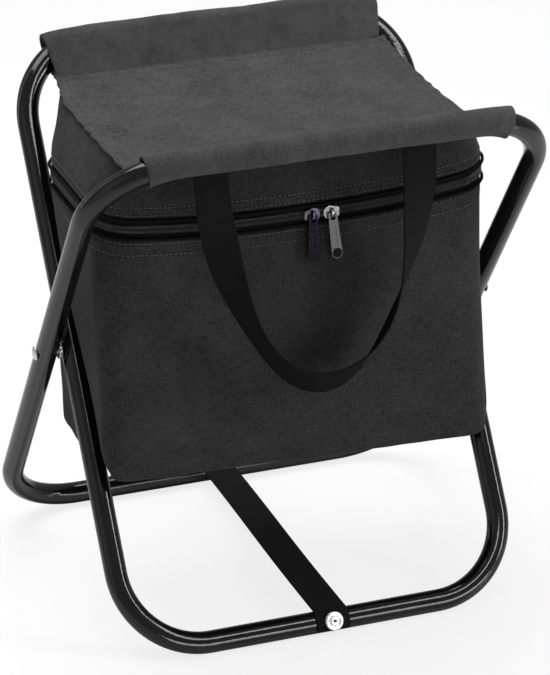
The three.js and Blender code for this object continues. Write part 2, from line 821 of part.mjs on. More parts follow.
// The nose points along +X
function zipSlider() {
  const noseMiddle = sliderLength / 2 - sliderHeight / 2;
  const back = backPlateDepth + sliderPlateThickness / 2;
  const front = frontPlateDepth + sliderPlateThickness / 2;
  const dividerHalf = dividerThickness / 2;
  const dividerTo = noseMiddle + dividerLength;
  const divider = block([noseMiddle, back, -dividerHalf], [dividerTo, front, dividerHalf]);
  const lipReach = sliderLength / 2 - sliderHeight / 2;
  const lips = [-1, 1].map((way) => {
    const edges = [sliderTailHeight / 2, sliderTailHeight / 2 - sliderLip].map((edge) => way * edge);
    const low = Math.min(...edges);
    const high = Math.max(...edges);
    return block([-lipReach, frontPlateDepth - sliderLipDepth, low], [lipReach, front, high]);
  });
  const bailHalf = bailWidth / 2;
  const windowHalf = bailWindow / 2;
  const outerHalf = windowHalf + bailThickness;
  const windowDepth = sliderFaceDepth + bailWindowDepth;
  const arch = block([-bailHalf, front, -outerHalf], [bailHalf, windowDepth + bailThickness, outerHalf]);
  const opening = block(
    [-sliderHeight, sliderFaceDepth, -windowHalf],
    [sliderHeight, windowDepth, windowHalf],
  );
  const plates = join(sliderPlate(backPlateDepth), divider, sliderPlate(frontPlateDepth));
  return join(plates, ...lips, cut(arch, opening));
}

// The same shape seen in a mirror across X
function mirroredAcross(geometry) {
  const position = geometry.getAttribute("position");
  for (let i = 0; i < position.count; i++) position.setX(i, -position.getX(i));
  return facingOutGeometry(geometry);
}

// The pull hangs by the rim of its eye, under the bail: a flat tab with a round end and a round recess
function zipPull() {
  const rim = pullThickness / 2;
  const neck = pullNeckWidth / 2;
  const half = pullWidth / 2;
  const bottom = rim - pullLength;
  const outline = new THREE.Shape();
  outline.moveTo(pullCornerSize - neck, rim);
  outline.lineTo(-neck, rim - pullCornerSize);
  outline.lineTo(-half, bottom + half);
  outline.absarc(0, bottom + half, half, Math.PI, 2 * Math.PI, false);
  outline.lineTo(neck, rim - pullCornerSize);
  outline.lineTo(neck - pullCornerSize, rim);
  outline.closePath();
  const eyeHalf = pullEyeWidth / 2;
  outline.holes.push(
    new THREE.Path([
      new THREE.Vector2(-eyeHalf, -rim - pullEyeHeight),
      new THREE.Vector2(eyeHalf, -rim - pullEyeHeight),
      new THREE.Vector2(eyeHalf, -rim),
      new THREE.Vector2(-eyeHalf, -rim),
    ]),
  );
  const tab = towardsFront(outline, -pullThickness / 2, pullThickness / 2);
  const recess = new THREE.Shape();
  recess.absarc(0, bottom + half, half - pullRecessMargin, 0, 2 * Math.PI, false);
  return cut(tab, towardsFront(recess, pullThickness / 2 - pullRecessDepth, pullThickness));
}

[
  ["left", -1, pullDark, pullSwayLeft],
  ["right", 1, rivetSilver, pullSwayRight],
].forEach(([word, side, finish, sway]) => {
  const place = new THREE.Group();
  const x = sliderMiddle + (side * sliderSpacing) / 2;
  place.position.set(x, -bagFront, zipMiddleZ - sagAt(x, -bagFront, zipMiddleZ));
  stool.add(place);
  const slider = side > 0 ? mirroredAcross(zipSlider()) : zipSlider();
  addPiece(`zip_slider_${word}`, slider, finish, place);
  const pull = addPiece(`zip_pull_${word}`, zipPull(), finish, place);
  pull.position.y = -pullDepth;
  pull.rotation.set(THREE.MathUtils.degToRad(-pullLean), THREE.MathUtils.degToRad(-sway), 0, "YXZ");
});

// A flat strap along a route of stations, each a place and the direction across the strap
function ribbon(stations, width, thickness) {
  const rings = stations.map(({ place, across }, i) => {
    const before = stations[Math.max(i - 1, 0)].place;
    const after = stations[Math.min(i + 1, stations.length - 1)].place;
    const ahead = new THREE.Vector3().subVectors(after, before).normalize();
    const side = across.clone().addScaledVector(ahead, -across.dot(ahead)).normalize();
    const face = new THREE.Vector3().crossVectors(ahead, side);
    const corner = (sideWay, faceWay) =>
      place
        .clone()
        .addScaledVector(side, (sideWay * width) / 2)
        .addScaledVector(face, (faceWay * thickness) / 2);
    return [corner(-1, -1), corner(1, -1), corner(1, 1), corner(-1, 1)];
  });
  return loft(rings);
}

// Carry handle: both ends lie flat under the seam, the sides turn nearly edge-on, the bottom tilts forwards
const handleCurveShare = 2.2;
const handleY = -stitchY - webbingThickness / 2;
const handleTopZ = tailZ - clothThickness - seatGap;

function handleStations() {
  const curve = Array.from({ length: handleSteps + 1 }, (_, i) => {
    const swing = Math.PI * (1 - i / handleSteps);
    const depthShare = Math.abs(Math.sin(swing)) ** (2 / handleCurveShare);
    const spanShare = Math.sign(Math.cos(swing)) * Math.abs(Math.cos(swing)) ** (2 / handleCurveShare);
    const place = new THREE.Vector3(
      handleHalfSpan * spanShare + handleSway * depthShare,
      handleY,
      handleTopZ - handleLead - (handleDrop - handleLead) * depthShare,
    );
    return { place, upShare: Math.cos(swing) ** 2 };
  });
  const top = (x) => ({ place: new THREE.Vector3(x, handleY, handleTopZ), upShare: 1 });
  return [top(-handleHalfSpan), ...curve, top(handleHalfSpan)];
}

function carryHandle() {
  const stations = handleStations();
  const turnedStations = stations.map(({ place, upShare }, i) => {
    const before = stations[Math.max(i - 1, 0)].place;
    const after = stations[Math.min(i + 1, stations.length - 1)].place;
    const ahead = new THREE.Vector3().subVectors(after, before).normalize();
    const level = new THREE.Vector3(-ahead.z, 0, ahead.x);
    const risen = handleBottomTurn + handleSideTurn * upShare;
    const turn = risen - (handleBottomTurn + handleSideTurn) * upShare ** 2;
    const across = level.applyAxisAngle(ahead, THREE.MathUtils.degToRad(turn));
    return { place, across };
  });
  return ribbon(turnedStations, webbingWidth, webbingThickness);
}

addPiece("front_handle", carryHandle(), webbingBlack);

// Floor strap: over the top of each bottom bar, down its outer face, and riveted there

function floorStrap() {
  const radius = tubeRadius / Math.cos(Math.PI / tubeSides) + seatGap + strapThickness / 2;
  const wrap = (side) =>
    Array.from({ length: strapSteps + 1 }, (_, i) => {
      const turn = THREE.MathUtils.degToRad(-strapEndTurn + ((90 + strapEndTurn) * i) / strapSteps);
      return new THREE.Vector3(
        strapShift,
        side * (footY + radius * Math.cos(turn)),
        barLowZ + radius * Math.sin(turn),
      );
    });
  const route = [...wrap(-1), ...wrap(1).reverse()];
  const stations = route.map((place) => ({ place, across: new THREE.Vector3(1, 0, 0) }));
  return cut(ribbon(stations, strapWidth, strapThickness), strapBore(-1), strapBore(1));
}

addPiece("floor_strap", floorStrap(), webbingBlack);

const strapOutside = tubeRadius / Math.cos(Math.PI / tubeSides) + seatGap + strapThickness;
const washerSeat = strapOutside + seatGap;

function strapWasher(side) {
  const bore = strapShank / 2 + seatGap;
  const rim = strapWasherDiameter / 2;
  const headSeat = strapRivetHead / 2 + seatGap;
  const face = washerSeat + strapWasherThickness;
  const profile = [
    [washerSeat, bore],
    [washerSeat, rim],
    [face, rim],
    [face + strapWasherRidge, (rim + headSeat) / 2],
    [face, headSeat],
    [face, bore],
    [washerSeat, bore],
  ];
  const place = [strapShift, side * footY, barLowZ];
  return turned(profile, strapRivetDirection(side)).translate(...place);
}

function strapRivet(side) {
  const shank = strapShank / 2;
  const headFace = washerSeat + strapWasherThickness + seatGap;
  const tailFace = Math.sqrt((tubeRadius - tubeWall) ** 2 - (strapRivetTailDiameter / 2) ** 2) - seatGap;
  const bore = strapRivetBore / 2;
  const head = strapRivetHead / 2;
  const profile = [
    [tailFace - strapRivetTail, 0],
    [tailFace - strapRivetTail, strapRivetTailDiameter / 2],
    [tailFace, strapRivetTailDiameter / 2],
    [tailFace, shank],
    [headFace, shank],
    [headFace, head],
    [headFace + strapRivetHeadHeight / 2, head],
    [headFace + strapRivetHeadHeight, (head + bore) / 2],
    [headFace + strapRivetHeadHeight / 2, bore],
    [headFace, bore],
    [headFace, 0],
  ];
  const place = [strapShift, side * footY, barLowZ];
  return turned(profile, strapRivetDirection(side)).translate(...place);
}

[
  ["front", -1],
  ["rear", 1],
].forEach(([word, side]) => {
  addPiece(`strap_washer_${word}`, strapWasher(side), rivetSilver);
  addPiece(`strap_rivet_${word}`, strapRivet(side), rivetSilver);
});

export default stool;
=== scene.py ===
"""Dresses the folding cooler stool: black tube, woven cloth, webbing, zip and rivets."""

from __future__ import annotations

import logging
import math
from collections.abc import Iterator, Sequence
from contextlib import contextmanager
from dataclasses import dataclass
from enum import Enum

import bmesh
import bpy
import numpy as np
from mathutils import Matrix, Quaternion, Vector, noise

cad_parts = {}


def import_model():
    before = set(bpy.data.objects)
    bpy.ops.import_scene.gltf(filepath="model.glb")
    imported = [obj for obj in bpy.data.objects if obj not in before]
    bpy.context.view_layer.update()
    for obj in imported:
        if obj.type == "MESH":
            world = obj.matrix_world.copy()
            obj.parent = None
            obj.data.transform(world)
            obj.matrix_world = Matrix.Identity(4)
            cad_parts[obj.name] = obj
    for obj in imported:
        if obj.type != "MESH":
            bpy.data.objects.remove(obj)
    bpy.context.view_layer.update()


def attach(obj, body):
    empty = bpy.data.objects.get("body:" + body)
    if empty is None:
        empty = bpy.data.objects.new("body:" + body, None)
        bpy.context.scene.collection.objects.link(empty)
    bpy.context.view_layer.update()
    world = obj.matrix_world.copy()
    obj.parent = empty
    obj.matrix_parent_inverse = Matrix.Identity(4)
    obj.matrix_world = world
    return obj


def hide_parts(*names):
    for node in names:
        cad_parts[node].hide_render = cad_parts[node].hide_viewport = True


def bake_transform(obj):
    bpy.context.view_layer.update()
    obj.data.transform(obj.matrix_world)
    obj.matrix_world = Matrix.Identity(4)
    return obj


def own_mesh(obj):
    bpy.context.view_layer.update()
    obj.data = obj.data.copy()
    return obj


log = logging.getLogger("cooler_stool")
MM = 0.001
Array = np.ndarray
Colour = tuple[float, float, float]
Spot = tuple[float, float, float]
Place = tuple[float, float]
Object = bpy.types.Object
Material = bpy.types.Material


# Shader maths


class Reading:
    """A shader socket that takes part in Python arithmetic; each operator adds a Math node."""

    def __init__(self, shader: Shader, socket: bpy.types.NodeSocket) -> None:
        """Wraps a socket.

        Args:
            shader: The shader that owns the socket's node.
            socket: An output socket.
        """
        self.shader = shader
        self.socket = socket

    def maths(self, operation: str, *others: float | Reading, clamp: bool = False) -> Reading:
        """Feeds this socket, and others after it, to a Math node.

        Args:
            operation: The Math node's operation.
            others: The second and third values.
            clamp: Whether the result is kept between 0 and 1.

        Returns:
            The node's result.
        """
        inputs = dict(enumerate((self, *others)))
        return self.shader.node("Math", {"operation": operation, "use_clamp": clamp}, inputs)

    def __add__(self, other: float | Reading) -> Reading:
        """This value plus another."""
        return self.maths("ADD", other)

    def __radd__(self, other: float) -> Reading:
        """A number plus this value."""
        return self.maths("ADD", other)

    def __sub__(self, other: float | Reading) -> Reading:
        """This value less another."""
        return self.maths("SUBTRACT", other)

    def __rsub__(self, other: float) -> Reading:
        """A number less this value."""
        return self.maths("MULTIPLY_ADD", -1.0, other)

    def __mul__(self, other: float | Reading) -> Reading:
        """This value times another."""
        return self.maths("MULTIPLY", other)

    def __rmul__(self, other: float) -> Reading:
        """A number times this value."""
        return self.maths("MULTIPLY", other)

    def __abs__(self) -> Reading:
        """This value without its sign."""
        return self.maths("ABSOLUTE")

    def clamped(self) -> Reading:
        """This value kept between 0 and 1."""
        return self.maths("ADD", 0.0, clamp=True)

    def sine(self) -> Reading:
        """The sine of this value."""
        return self.maths("SINE")

    def fraction(self) -> Reading:
        """What is left of this value over whole numbers."""
        return self.maths("FRACT")

    def rising(self, start: float, end: float) -> Reading:
        """A soft step.

        Args:
            start: Where the step leaves 0.
            end: Where it reaches 1.

        Returns:
            0 before start, 1 after end, smooth between them.
        """
        settings = {"interpolation_type": "SMOOTHSTEP"}
        return self.shader.node("MapRange", settings, {0: self, 1: start, 2: end})

    def between(self, low: Colour, high: Colour) -> Reading:
        """Mixes two colours by this value.

        Args:
            low: The colour at 0.
            high: The colour at 1.

        Returns:
            The mixed colour.
        """
        inputs = {0: self, 6: (*low, 1.0), 7: (*high, 1.0)}
        return self.shader.node("Mix", {"data_type": "RGBA"}, inputs, output=2)


class Shader:
    """A material or a world under construction."""

    def __init__(self, name: str, world: bool = False) -> None:
        """Starts an empty one.

        Args:
            name: Its name.
            world: Whether it is a world.
        """
        self.holder = (bpy.data.worlds if world else bpy.data.materials).new(name)
        self.holder.use_nodes = True
        self.tree = self.holder.node_tree
        self.tree.nodes.clear()
        self.out = self.tree.nodes.new(f"ShaderNodeOutput{'World' if world else 'Material'}")

    def feed(self, socket: bpy.types.NodeSocket, value: object) -> None:
        """Gives an input its value or link.

        Args:
            socket: The input.
            value: A Reading, a number or a tuple.
        """
        if isinstance(value, Reading):
            self.tree.links.new(value.socket, socket)
        else:
            socket.default_value = value

    def node(
        self,
        kind: str,
        settings: dict[str, object] | None = None,
        inputs: dict[int | str, object] | None = None,
        output: int | str = 0,
    ) -> Reading:
        """Adds a node.

        Args:
            kind: The node's type, without ShaderNode.
            settings: Its settings, set first.
            inputs: Values or links of its inputs, by place or name.
            output: The output that is read.

        Returns:
            That output.
        """
        made = self.tree.nodes.new(f"ShaderNode{kind}")
        for key, value in (settings or {}).items():
            setattr(made, key, value)
        for key, value in (inputs or {}).items():
            self.feed(made.inputs[key], value)
        return Reading(self, made.outputs[output])

    def number(self, value: float) -> Reading:
        """A constant that takes part in shader maths."""
        return self.node("Math", {"operation": "ADD"}, {0: value, 1: 0.0})

    def places(self, output: str = "UV") -> Reading:
        """Texture places: UV holds metres along the cloth, Object the row frame."""
        return self.node("TexCoord", output=output)

    def part(self, vector: Reading, axis: int) -> Reading:
        """One of the three numbers of a vector."""
        return self.node("SeparateXYZ", inputs={0: vector}, output=axis)

    def stretched(self, vector: Reading, scale: Sequence[float]) -> Reading:
        """A vector with each of its numbers scaled."""
        settings = {"operation": "MULTIPLY"}
        return self.node("VectorMath", settings, {0: vector, 1: tuple(scale)})

    def mottle(
        self, vector: Reading, scale: float, detail: float = 2.0, rough: float = 0.5
    ) -> Reading:
        """Cloudy noise.

        Args:
            vector: The texture places.
            scale: Patches per metre.
            detail: How many finer layers are added.
            rough: How strong they are.

        Returns:
            A value round 0.5.
        """
        inputs = {"Vector": vector, "Scale": scale, "Detail": detail, "Roughness": rough}
        return self.node("TexNoise", inputs=inputs)

    def relief(self, height: Reading, distance: float, strength: float = 1.0) -> Reading:
        """A normal that follows a height.

        Args:
            height: The height, from 0 to 1.
            distance: What 1 stands for, in metres.
            strength: The share that is kept.

        Returns:
            The normal.
        """
        inputs = {"Height": height, "Distance": distance, "Strength": strength}
        return self.node("Bump", inputs=inputs)

    def surface(self, inputs: dict[str, object]) -> Material:
        """Closes the material.

        Args:
            inputs: The Principled BSDF's values and links, by name.

        Returns:
            The material.
        """
        shine = self.node("BsdfPrincipled", inputs=inputs)
        self.feed(self.out.inputs["Surface"], shine)
        return self.holder


def grey(level: float, warm: float = 0.0) -> Colour:
    """A near-neutral linear colour.

    Args:
        level: Its brightness.
        warm: How far red stands over blue, as a share.

    Returns:
        The colour.
    """
    return level * (1 + warm), level, level * (1 - warm)


# Finishes


@dataclass(frozen=True)
class WovenCloth:
    """Coated polyester cloth in a plain weave, seen by its UV places in metres."""

    name: str
    level: float = 0.047
    yarn: float = 0.00105
    yarn_height: float = 0.00024
    twill: float = 0.0019
    twill_share: float = 0.2
    slub: float = 1.7
    fleck: float = 1.9
    roughness: float = 0.82
    sheen: float = 0.05
    seam_rows: tuple[float, ...] = ()
    seam_width: float = 0.0016
    # How far the colour is darkened in the seam grooves: painted shade.
    seam_painted_shade: float = 0.24
    pucker_pitch: float = 0.0034

    def weave(self, across: Reading, along: Reading) -> Reading:
        """The height of the yarns.

        Args:
            across: Metres across the cloth.
            along: Metres along the cloth.

        Returns:
            A height from 0 to 1.
        """
        turn = math.pi / self.yarn
        weft, warp = (across * turn).sine(), (along * turn).sine()
        over = (weft * warp * 3.0 + 0.5).clamped()
        first, second = abs(weft), abs(warp)
        return over * first * (second * 0.4 + 0.6) + (1 - over) * second * (first * 0.4 + 0.6)

    def pressed_seams(self, shader: Shader, across: Reading, along: Reading) -> Reading:
        """How deep the cloth is drawn in along its sewn rows, with a pucker at each stitch.

        Args:
            shader: The material under construction.
            across: Metres along the seam.
            along: Metres across the seam.

        Returns:
            0 away from the rows, 1 in their grooves.
        """
        depth = shader.number(0.0)
        for row in self.seam_rows:
            near = 1 - abs(along - row).rising(0.0, self.seam_width)
            depth = depth + near * ((across * (2 * math.pi / self.pucker_pitch)).sine() * 0.3 + 0.7)
        return depth.clamped()

    def make(self) -> Material:
        """Builds the material."""
        shader = Shader(self.name)
        places = shader.places()
        across, along = shader.part(places, 0), shader.part(places, 1)
        yarns = self.weave(across, along)
        ribs = ((across + along * 0.8) * (2 * math.pi / self.twill)).sine() * 0.5 + 0.5
        slubs = shader.mottle(shader.stretched(places, (1.0, 0.22, 1.0)), 760.0, 1.0)
        cross_slubs = shader.mottle(shader.stretched(places, (0.22, 1.0, 1.0)), 760.0, 1.0)
        fuzz = shader.mottle(places, 900.0, 2.0, 0.75)
        wear = shader.mottle(places, 22.0, 3.0, 0.55)
        rubbed = shader.mottle(places, 75.0, 2.0, 0.6)
        thread = (slubs + cross_slubs) * 0.5
        grain = (thread - 0.5) * self.slub + (fuzz - 0.5) * self.fleck
        grain = grain + (wear - 0.5) * 0.7 + (rubbed - 0.5) * 0.5
        tone = 0.44 + grain + (yarns - 0.5) * 0.7 + (ribs - 0.5) * self.twill_share
        seams = self.pressed_seams(shader, across, along)
        # Painted shade: the colour is darkened along the sewn rows, in the grooves that the bump
        # draws there.
        tone = (tone - seams * self.seam_painted_shade).clamped()
        colour = tone.between(grey(self.level * 0.3, 0.012), grey(self.level * 1.9, 0.004))
        height = yarns * 0.6 + ribs * self.twill_share + thread * 0.35 + fuzz * 0.3
        bumps = shader.relief(height, self.yarn_height)
        grooves = shader.node(
            "Bump",
            inputs={"Height": 1 - seams, "Distance": 0.0007, "Strength": 1.0, "Normal": bumps},
        )
        return shader.surface(
            {
                "Base Color": colour,
                "Roughness": self.roughness + 0.1 * (fuzz - 0.5),
                "Normal": grooves,
                "Specular IOR Level": 0.18,
                "Sheen Weight": self.sheen,
                "Sheen Roughness": 0.45,
            }
        )


@dataclass(frozen=True)
class Webbing:
    """Narrow woven strap with a chevron of ribs and firm edges; UV runs across, then along."""

    name: str
    level: float = 0.013
    width: float = 0.025
    rib: float = 0.0017
    cord: float = 0.0021
    relief: float = 0.00032
    roughness: float = 0.72
    sheen: float = 0.03
    warm: float = 0.03

    def make(self) -> Material:
        """Builds the material."""
        shader = Shader(self.name)
        places = shader.places()
        across, along = shader.part(places, 0), shader.part(places, 1)
        column = (across * (1 / self.cord)).fraction()
        zigzag = abs(column - 0.5) * self.cord
        ribs = abs(((along + zigzag) * (math.pi / self.rib)).sine())
        cords = abs((across * (math.pi / self.cord)).sine())
        fuzz = shader.mottle(places, 2400.0, 3.0, 0.7)
        worn = shader.mottle(places, 60.0, 3.0, 0.6)
        height = ribs * 0.6 + cords * 0.3 + fuzz * 0.25
        tone = (height * 1.2 + worn * 0.5 - 0.55).clamped()
        colour = tone.between(grey(self.level * 0.3, self.warm), grey(self.level * 2.4, self.warm))
        return shader.surface(
            {
                "Base Color": colour,
                "Roughness": self.roughness + 0.12 * (worn - 0.5),
                "Normal": shader.relief(height, self.relief),
                "Specular IOR Level": 0.07,
                "Sheen Weight": self.sheen,
                "Sheen Roughness": 0.4,
            }
        )


@dataclass(frozen=True)
class GlossPaint:
    """Gloss black paint on steel tube, with faint orange peel and a few rubbed spots."""

    name: str
    level: float = 0.0035
    roughness: float = 0.07
    specular: float = 0.5

    def make(self) -> Material:
        """Builds the material."""
        shader = Shader(self.name)
        places = shader.places("Object")
        peel = shader.mottle(places, 420.0, 2.0)
        swirl = shader.mottle(shader.stretched(places, (1.0, 1.0, 0.25)), 38.0, 3.0, 0.6)
        dust = shader.mottle(places, 1300.0, 2.0, 0.7).rising(0.62, 0.8)
        tone = (swirl * 0.7 + dust * 0.25).clamped()
        colour = tone.between(grey(self.level * 0.7), grey(self.level * 1.9))
        return shader.surface(
            {
                "Base Color": colour,
                "Roughness": self.roughness + 0.12 * (swirl - 0.4).clamped() + 0.08 * dust,
                "Normal": shader.relief(peel, 0.00006),
                "Specular IOR Level": self.specular,
            }
        )


@dataclass(frozen=True)
class PlatedMetal:
    """Plated metal with fine polishing lines and scuffs."""

    name: str
    colour: Colour
    roughness: float = 0.24
    scuff: float = 0.25
    dull: float = 0.62
    lines: tuple[float, float, float] = (1.0, 1.0, 0.08)

    def make(self) -> Material:
        """Builds the material."""
        shader = Shader(self.name)
        places = shader.places("Object")
        polish = shader.mottle(shader.stretched(places, self.lines), 3800.0, 2.0, 0.6)
        scuffs = shader.mottle(places, 700.0, 3.0, 0.65).rising(0.5, 0.72)
        tarnish = shader.mottle(places, 160.0, 2.0)
        tone = (scuffs * self.scuff + tarnish * 0.5).clamped()
        dull = tuple(part * self.dull for part in self.colour)
        return shader.surface(
            {
                "Base Color": (1 - tone).between(dull, self.colour),
                "Metallic": 1.0,
                "Roughness": self.roughness + scuffs * 0.2 + (polish - 0.5) * 0.1,
                "Normal": shader.relief(polish, 0.00003),
            }
        )


@dataclass(frozen=True)
class MouldedNylon:
    """Drawn nylon of the zip's coils and the sewing thread."""

    name: str
    level: float = 0.012
    roughness: float = 0.34
    twist: float = 1500.0

    def make(self) -> Material:
        """Builds the material."""
        shader = Shader(self.name)
        places = shader.places("Object")
        cloud = shader.mottle(places, self.twist, 2.0)
        tone = (cloud * 1.1 - 0.1).clamped()
        return shader.surface(
            {
                "Base Color": tone.between(grey(self.level * 0.6), grey(self.level * 1.7)),
                "Roughness": self.roughness + (cloud - 0.5) * 0.16,
                "Normal": shader.relief(cloud, 0.00008),
                "Specular IOR Level": 0.5,
            }
        )


@dataclass(frozen=True)
class CrinkledFoil:
    """Silvered lining film, creased where it was folded and sealed."""

    name: str
    level: float = 0.62

    def make(self) -> Material:
        """Builds the material."""
        shader = Shader(self.name)
        places = shader.places()
        edges = {"feature": "DISTANCE_TO_EDGE"}
        cells = shader.node("TexVoronoi", edges, {"Vector": places, "Scale": 42.0})
        creases = cells.rising(0.0, 0.16)
        dimples = shader.mottle(places, 130.0, 4.0, 0.65)
        film = shader.mottle(places, 900.0, 2.0)
        # Painted shade: the colour is darker along the creases and in the low parts of the dimples,
        # following the same height as the bump.
        tone = (creases * 0.5 + dimples * 0.6 - 0.1).clamped()
        height = creases * 0.5 + dimples * 0.8 + film * 0.1
        return shader.surface(
            {
                "Base Color": tone.between(grey(self.level * 0.75), grey(self.level * 1.2)),
                "Metallic": 0.85,
                "Roughness": 0.26 + film * 0.14,
                "Normal": shader.relief(height, 0.0012),
            }
        )


@dataclass(frozen=True)
class FoamSheet:
    """Closed-cell foam of the insulation."""

    name: str
    level: float = 0.68

    def make(self) -> Material:
        """Builds the material."""
        shader = Shader(self.name)
        places = shader.places("Object")
        pores = shader.node("TexVoronoi", inputs={"Vector": places, "Scale": 750.0})
        cloud = shader.mottle(places, 60.0, 3.0)
        tone = (pores * 0.5 + cloud * 0.5).clamped()
        return shader.surface(
            {
                "Base Color": tone.between(grey(self.level * 1.12), grey(self.level * 0.82)),
                "Roughness": 0.85 + 0.1 * (pores - 0.5),
                "Normal": shader.relief(pores, 0.0003),
            }
        )


@dataclass(frozen=True)
class FinishSet:
    """One material of each finish, made once."""

    paint: Material
    rivet: Material
    washer: Material
    pull_bright: Material
    pull_dark: Material
    slider_dark: Material
    slider_bright: Material
    # recess is the finish of the near-black disc that paints the shade in each pull's recess.
    recess: Material
    handle: Material
    strap: Material
    tape: Material
    coil: Material
    thread: Material
    seat_thread: Material
    foil: Material
    foam: Material
    seat_cloth: Material
    hem_cloth: Material
    bag_cloth: Material
    lid_cloth: Material

    @classmethod
    def made(cls) -> FinishSet:
        """Makes every finish."""
        return cls(
            paint=GlossPaint("gloss_black_paint").make(),
            rivet=PlatedMetal("rivet_zinc", (0.74, 0.75, 0.77), 0.2).make(),
            washer=PlatedMetal("washer_nickel", (0.95, 0.95, 0.95), 0.3, 0.04).make(),
            pull_bright=PlatedMetal("pull_nickel", (0.048, 0.048, 0.05), 0.22, 0.3).make(),
            pull_dark=PlatedMetal("pull_gunmetal", (0.0085, 0.0054, 0.0102), 0.2, 1.3, 0.15).make(),
            slider_dark=PlatedMetal("slider_gunmetal", (0.24, 0.2, 0.28), 0.16, 1.6, 0.05).make(),
            slider_bright=PlatedMetal("slider_nickel", (0.52, 0.5, 0.5), 0.2, 1.0, 0.3).make(),
            # Near-black finish of the disc in each pull's recess: painted shade of the recess.
            recess=GlossPaint("recess_painted_shade", level=0.009, roughness=0.5, specular=0.06).make(),
            handle=Webbing("handle_webbing_weave", level=0.0062, sheen=0.0).make(),
            strap=Webbing("strap_webbing_weave", level=0.0065, warm=0.0).make(),
            tape=Webbing(
                "zip_tape_weave", level=0.0032, rib=0.0007, cord=0.0011, relief=0.00014, sheen=0.0
            ).make(),
            coil=MouldedNylon("zip_coil_nylon", level=0.055, roughness=0.2).make(),
            thread=MouldedNylon("sewing_thread", level=0.11, roughness=0.55).make(),
            seat_thread=MouldedNylon("seat_thread", level=0.065, roughness=0.6).make(),
            foil=CrinkledFoil("foil_lining").make(),
            foam=FoamSheet("foam_insulation").make(),
            seat_cloth=WovenCloth(
                "seat_cloth_weave",
                level=0.053,
                seam_rows=(0.0022, 0.0091, 0.1929, 0.1998),
                seam_painted_shade=0.5,
                fleck=2.3,
            ).make(),
            hem_cloth=WovenCloth(
                "hem_cloth_weave", 0.057, twill=0.0017, twill_share=0.24, slub=0.7, fleck=1.2
            ).make(),
            bag_cloth=WovenCloth("bag_cloth_weave", 0.0275, seam_rows=(0.0026, 0.0114)).make(),
            lid_cloth=WovenCloth("lid_cloth_weave", 0.0285, seam_rows=(0.0016, 0.0066)).make(),
        )


# Mesh building


def smoothstep(value: Array | float, start: float, end: float) -> Array:
    """A soft step from 0 at start to 1 at end."""
    share = np.clip((np.asarray(value, float) - start) / (end - start), 0.0, 1.0)
    return share * share * (3 - 2 * share)


def unit(vectors: Array) -> Array:
    """Vectors scaled to length one."""
    return vectors / np.maximum(np.linalg.norm(vectors, axis=-1, keepdims=True), 1e-9)


def distances(line: Array) -> Array:
    """How far along a line each of its points lies."""
    return np.concatenate([[0.0], np.cumsum(np.linalg.norm(np.diff(line, axis=0), axis=1))])


def read_along(at: Array, run: Array, rows: Array) -> Array:
    """Rows of three numbers that belong to the distances run, read at others."""
    return np.column_stack([np.interp(at, run, rows[:, k]) for k in range(3)])


def full_turn(steps: int) -> Array:
    """Angles all round, without the last one."""
    return np.linspace(0, 2 * math.pi, steps, endpoint=False)


def resampled(points: Array, count: int, closed: bool = False) -> Array:
    """Spaces points evenly along a line.

    Args:
        points: The line's points.
        count: How many points are wanted.
        closed: Whether the line returns to its first point.

    Returns:
        The evenly spaced points, the first one kept.
    """
    line = np.vstack([points, points[:1]]) if closed else points
    run = distances(line)
    return read_along(np.linspace(0.0, run[-1], count + closed)[:count], run, line)


def cloudy(points: Array, size: float, seed: float) -> Array:
    """Smooth repeatable noise at each point.

    Args:
        points: Places in millimetres, any shape that ends in 3.
        size: The size of a patch in millimetres.
        seed: Shifts the pattern.

    Returns:
        Values round 0, about from -1 to 1.
    """
    flat = points.reshape(-1, 3) / size + seed
    values = [noise.noise(Vector(place)) for place in flat.tolist()]
    return np.array(values).reshape(points.shape[:-1]) * 1.6


def ridge_at(x: Array, z: Array, start: Place, end: Place, width: float) -> Array:
    """A soft ridge between two places.

    Args:
        x: Places across.
        z: Places up, or along.
        start: One end.
        end: The other end.
        width: How wide the ridge is.

    Returns:
        Its height from 0 to 1 at each place.
    """
    run = np.array(end) - np.array(start)
    share = np.clip(((x - start[0]) * run[0] + (z - start[1]) * run[1]) / (run @ run), 0, 1)
    away = np.hypot(x - start[0] - share * run[0], z - start[1] - share * run[1])
    return bell(away, 0.0, width) * (0.35 + 0.65 * np.sin(share * math.pi))


def bell(value: Array, middle: float, width: float) -> Array:
    """A bump of height 1 at middle that fades over width."""
    return np.exp(-(((value - middle) / width) ** 2))


def facing_out(rings: Array, normals: Array) -> Array:
    """Normals of a stack of rings, all turned round if they point inwards."""
    away = rings - rings.mean(axis=1, keepdims=True)
    return normals * np.sign((away * normals).sum())


def ring_normals(rings: Array) -> Array:
    """Outward unit normals of a stack of rings."""
    along = np.roll(rings, -1, axis=1) - np.roll(rings, 1, axis=1)
    return facing_out(rings, unit(np.cross(along, np.gradient(rings, axis=0))))


def level_normals(rings: Array) -> Array:
    """Outward unit normals of a stack of rings, kept level."""
    ahead = np.roll(rings, -1, axis=1) - np.roll(rings, 1, axis=1)
    level = np.stack([ahead[..., 1], -ahead[..., 0], np.zeros(ahead.shape[:2])], axis=-1)
    return facing_out(rings, unit(level))


def linked(name: str, data: bpy.types.ID) -> Object:
    """A new object in the scene."""
    made = bpy.data.objects.new(name, data)
    bpy.context.scene.collection.objects.link(made)
    return made


@contextmanager
def worked(mesh: bpy.types.Mesh) -> Iterator[bmesh.types.BMesh]:
    """Opens a mesh for editing and writes it back.

    Args:
        mesh: The mesh.

    Yields:
        Its editable form.
    """
    form = bmesh.new()
    form.from_mesh(mesh)
    yield form
    form.to_mesh(mesh)
    form.free()


def evaluated(piece: Object) -> bpy.types.Mesh:
    """A new mesh of a piece with its modifiers applied."""
    graph = bpy.context.evaluated_depsgraph_get()
    return bpy.data.meshes.new_from_object(piece.evaluated_get(graph))


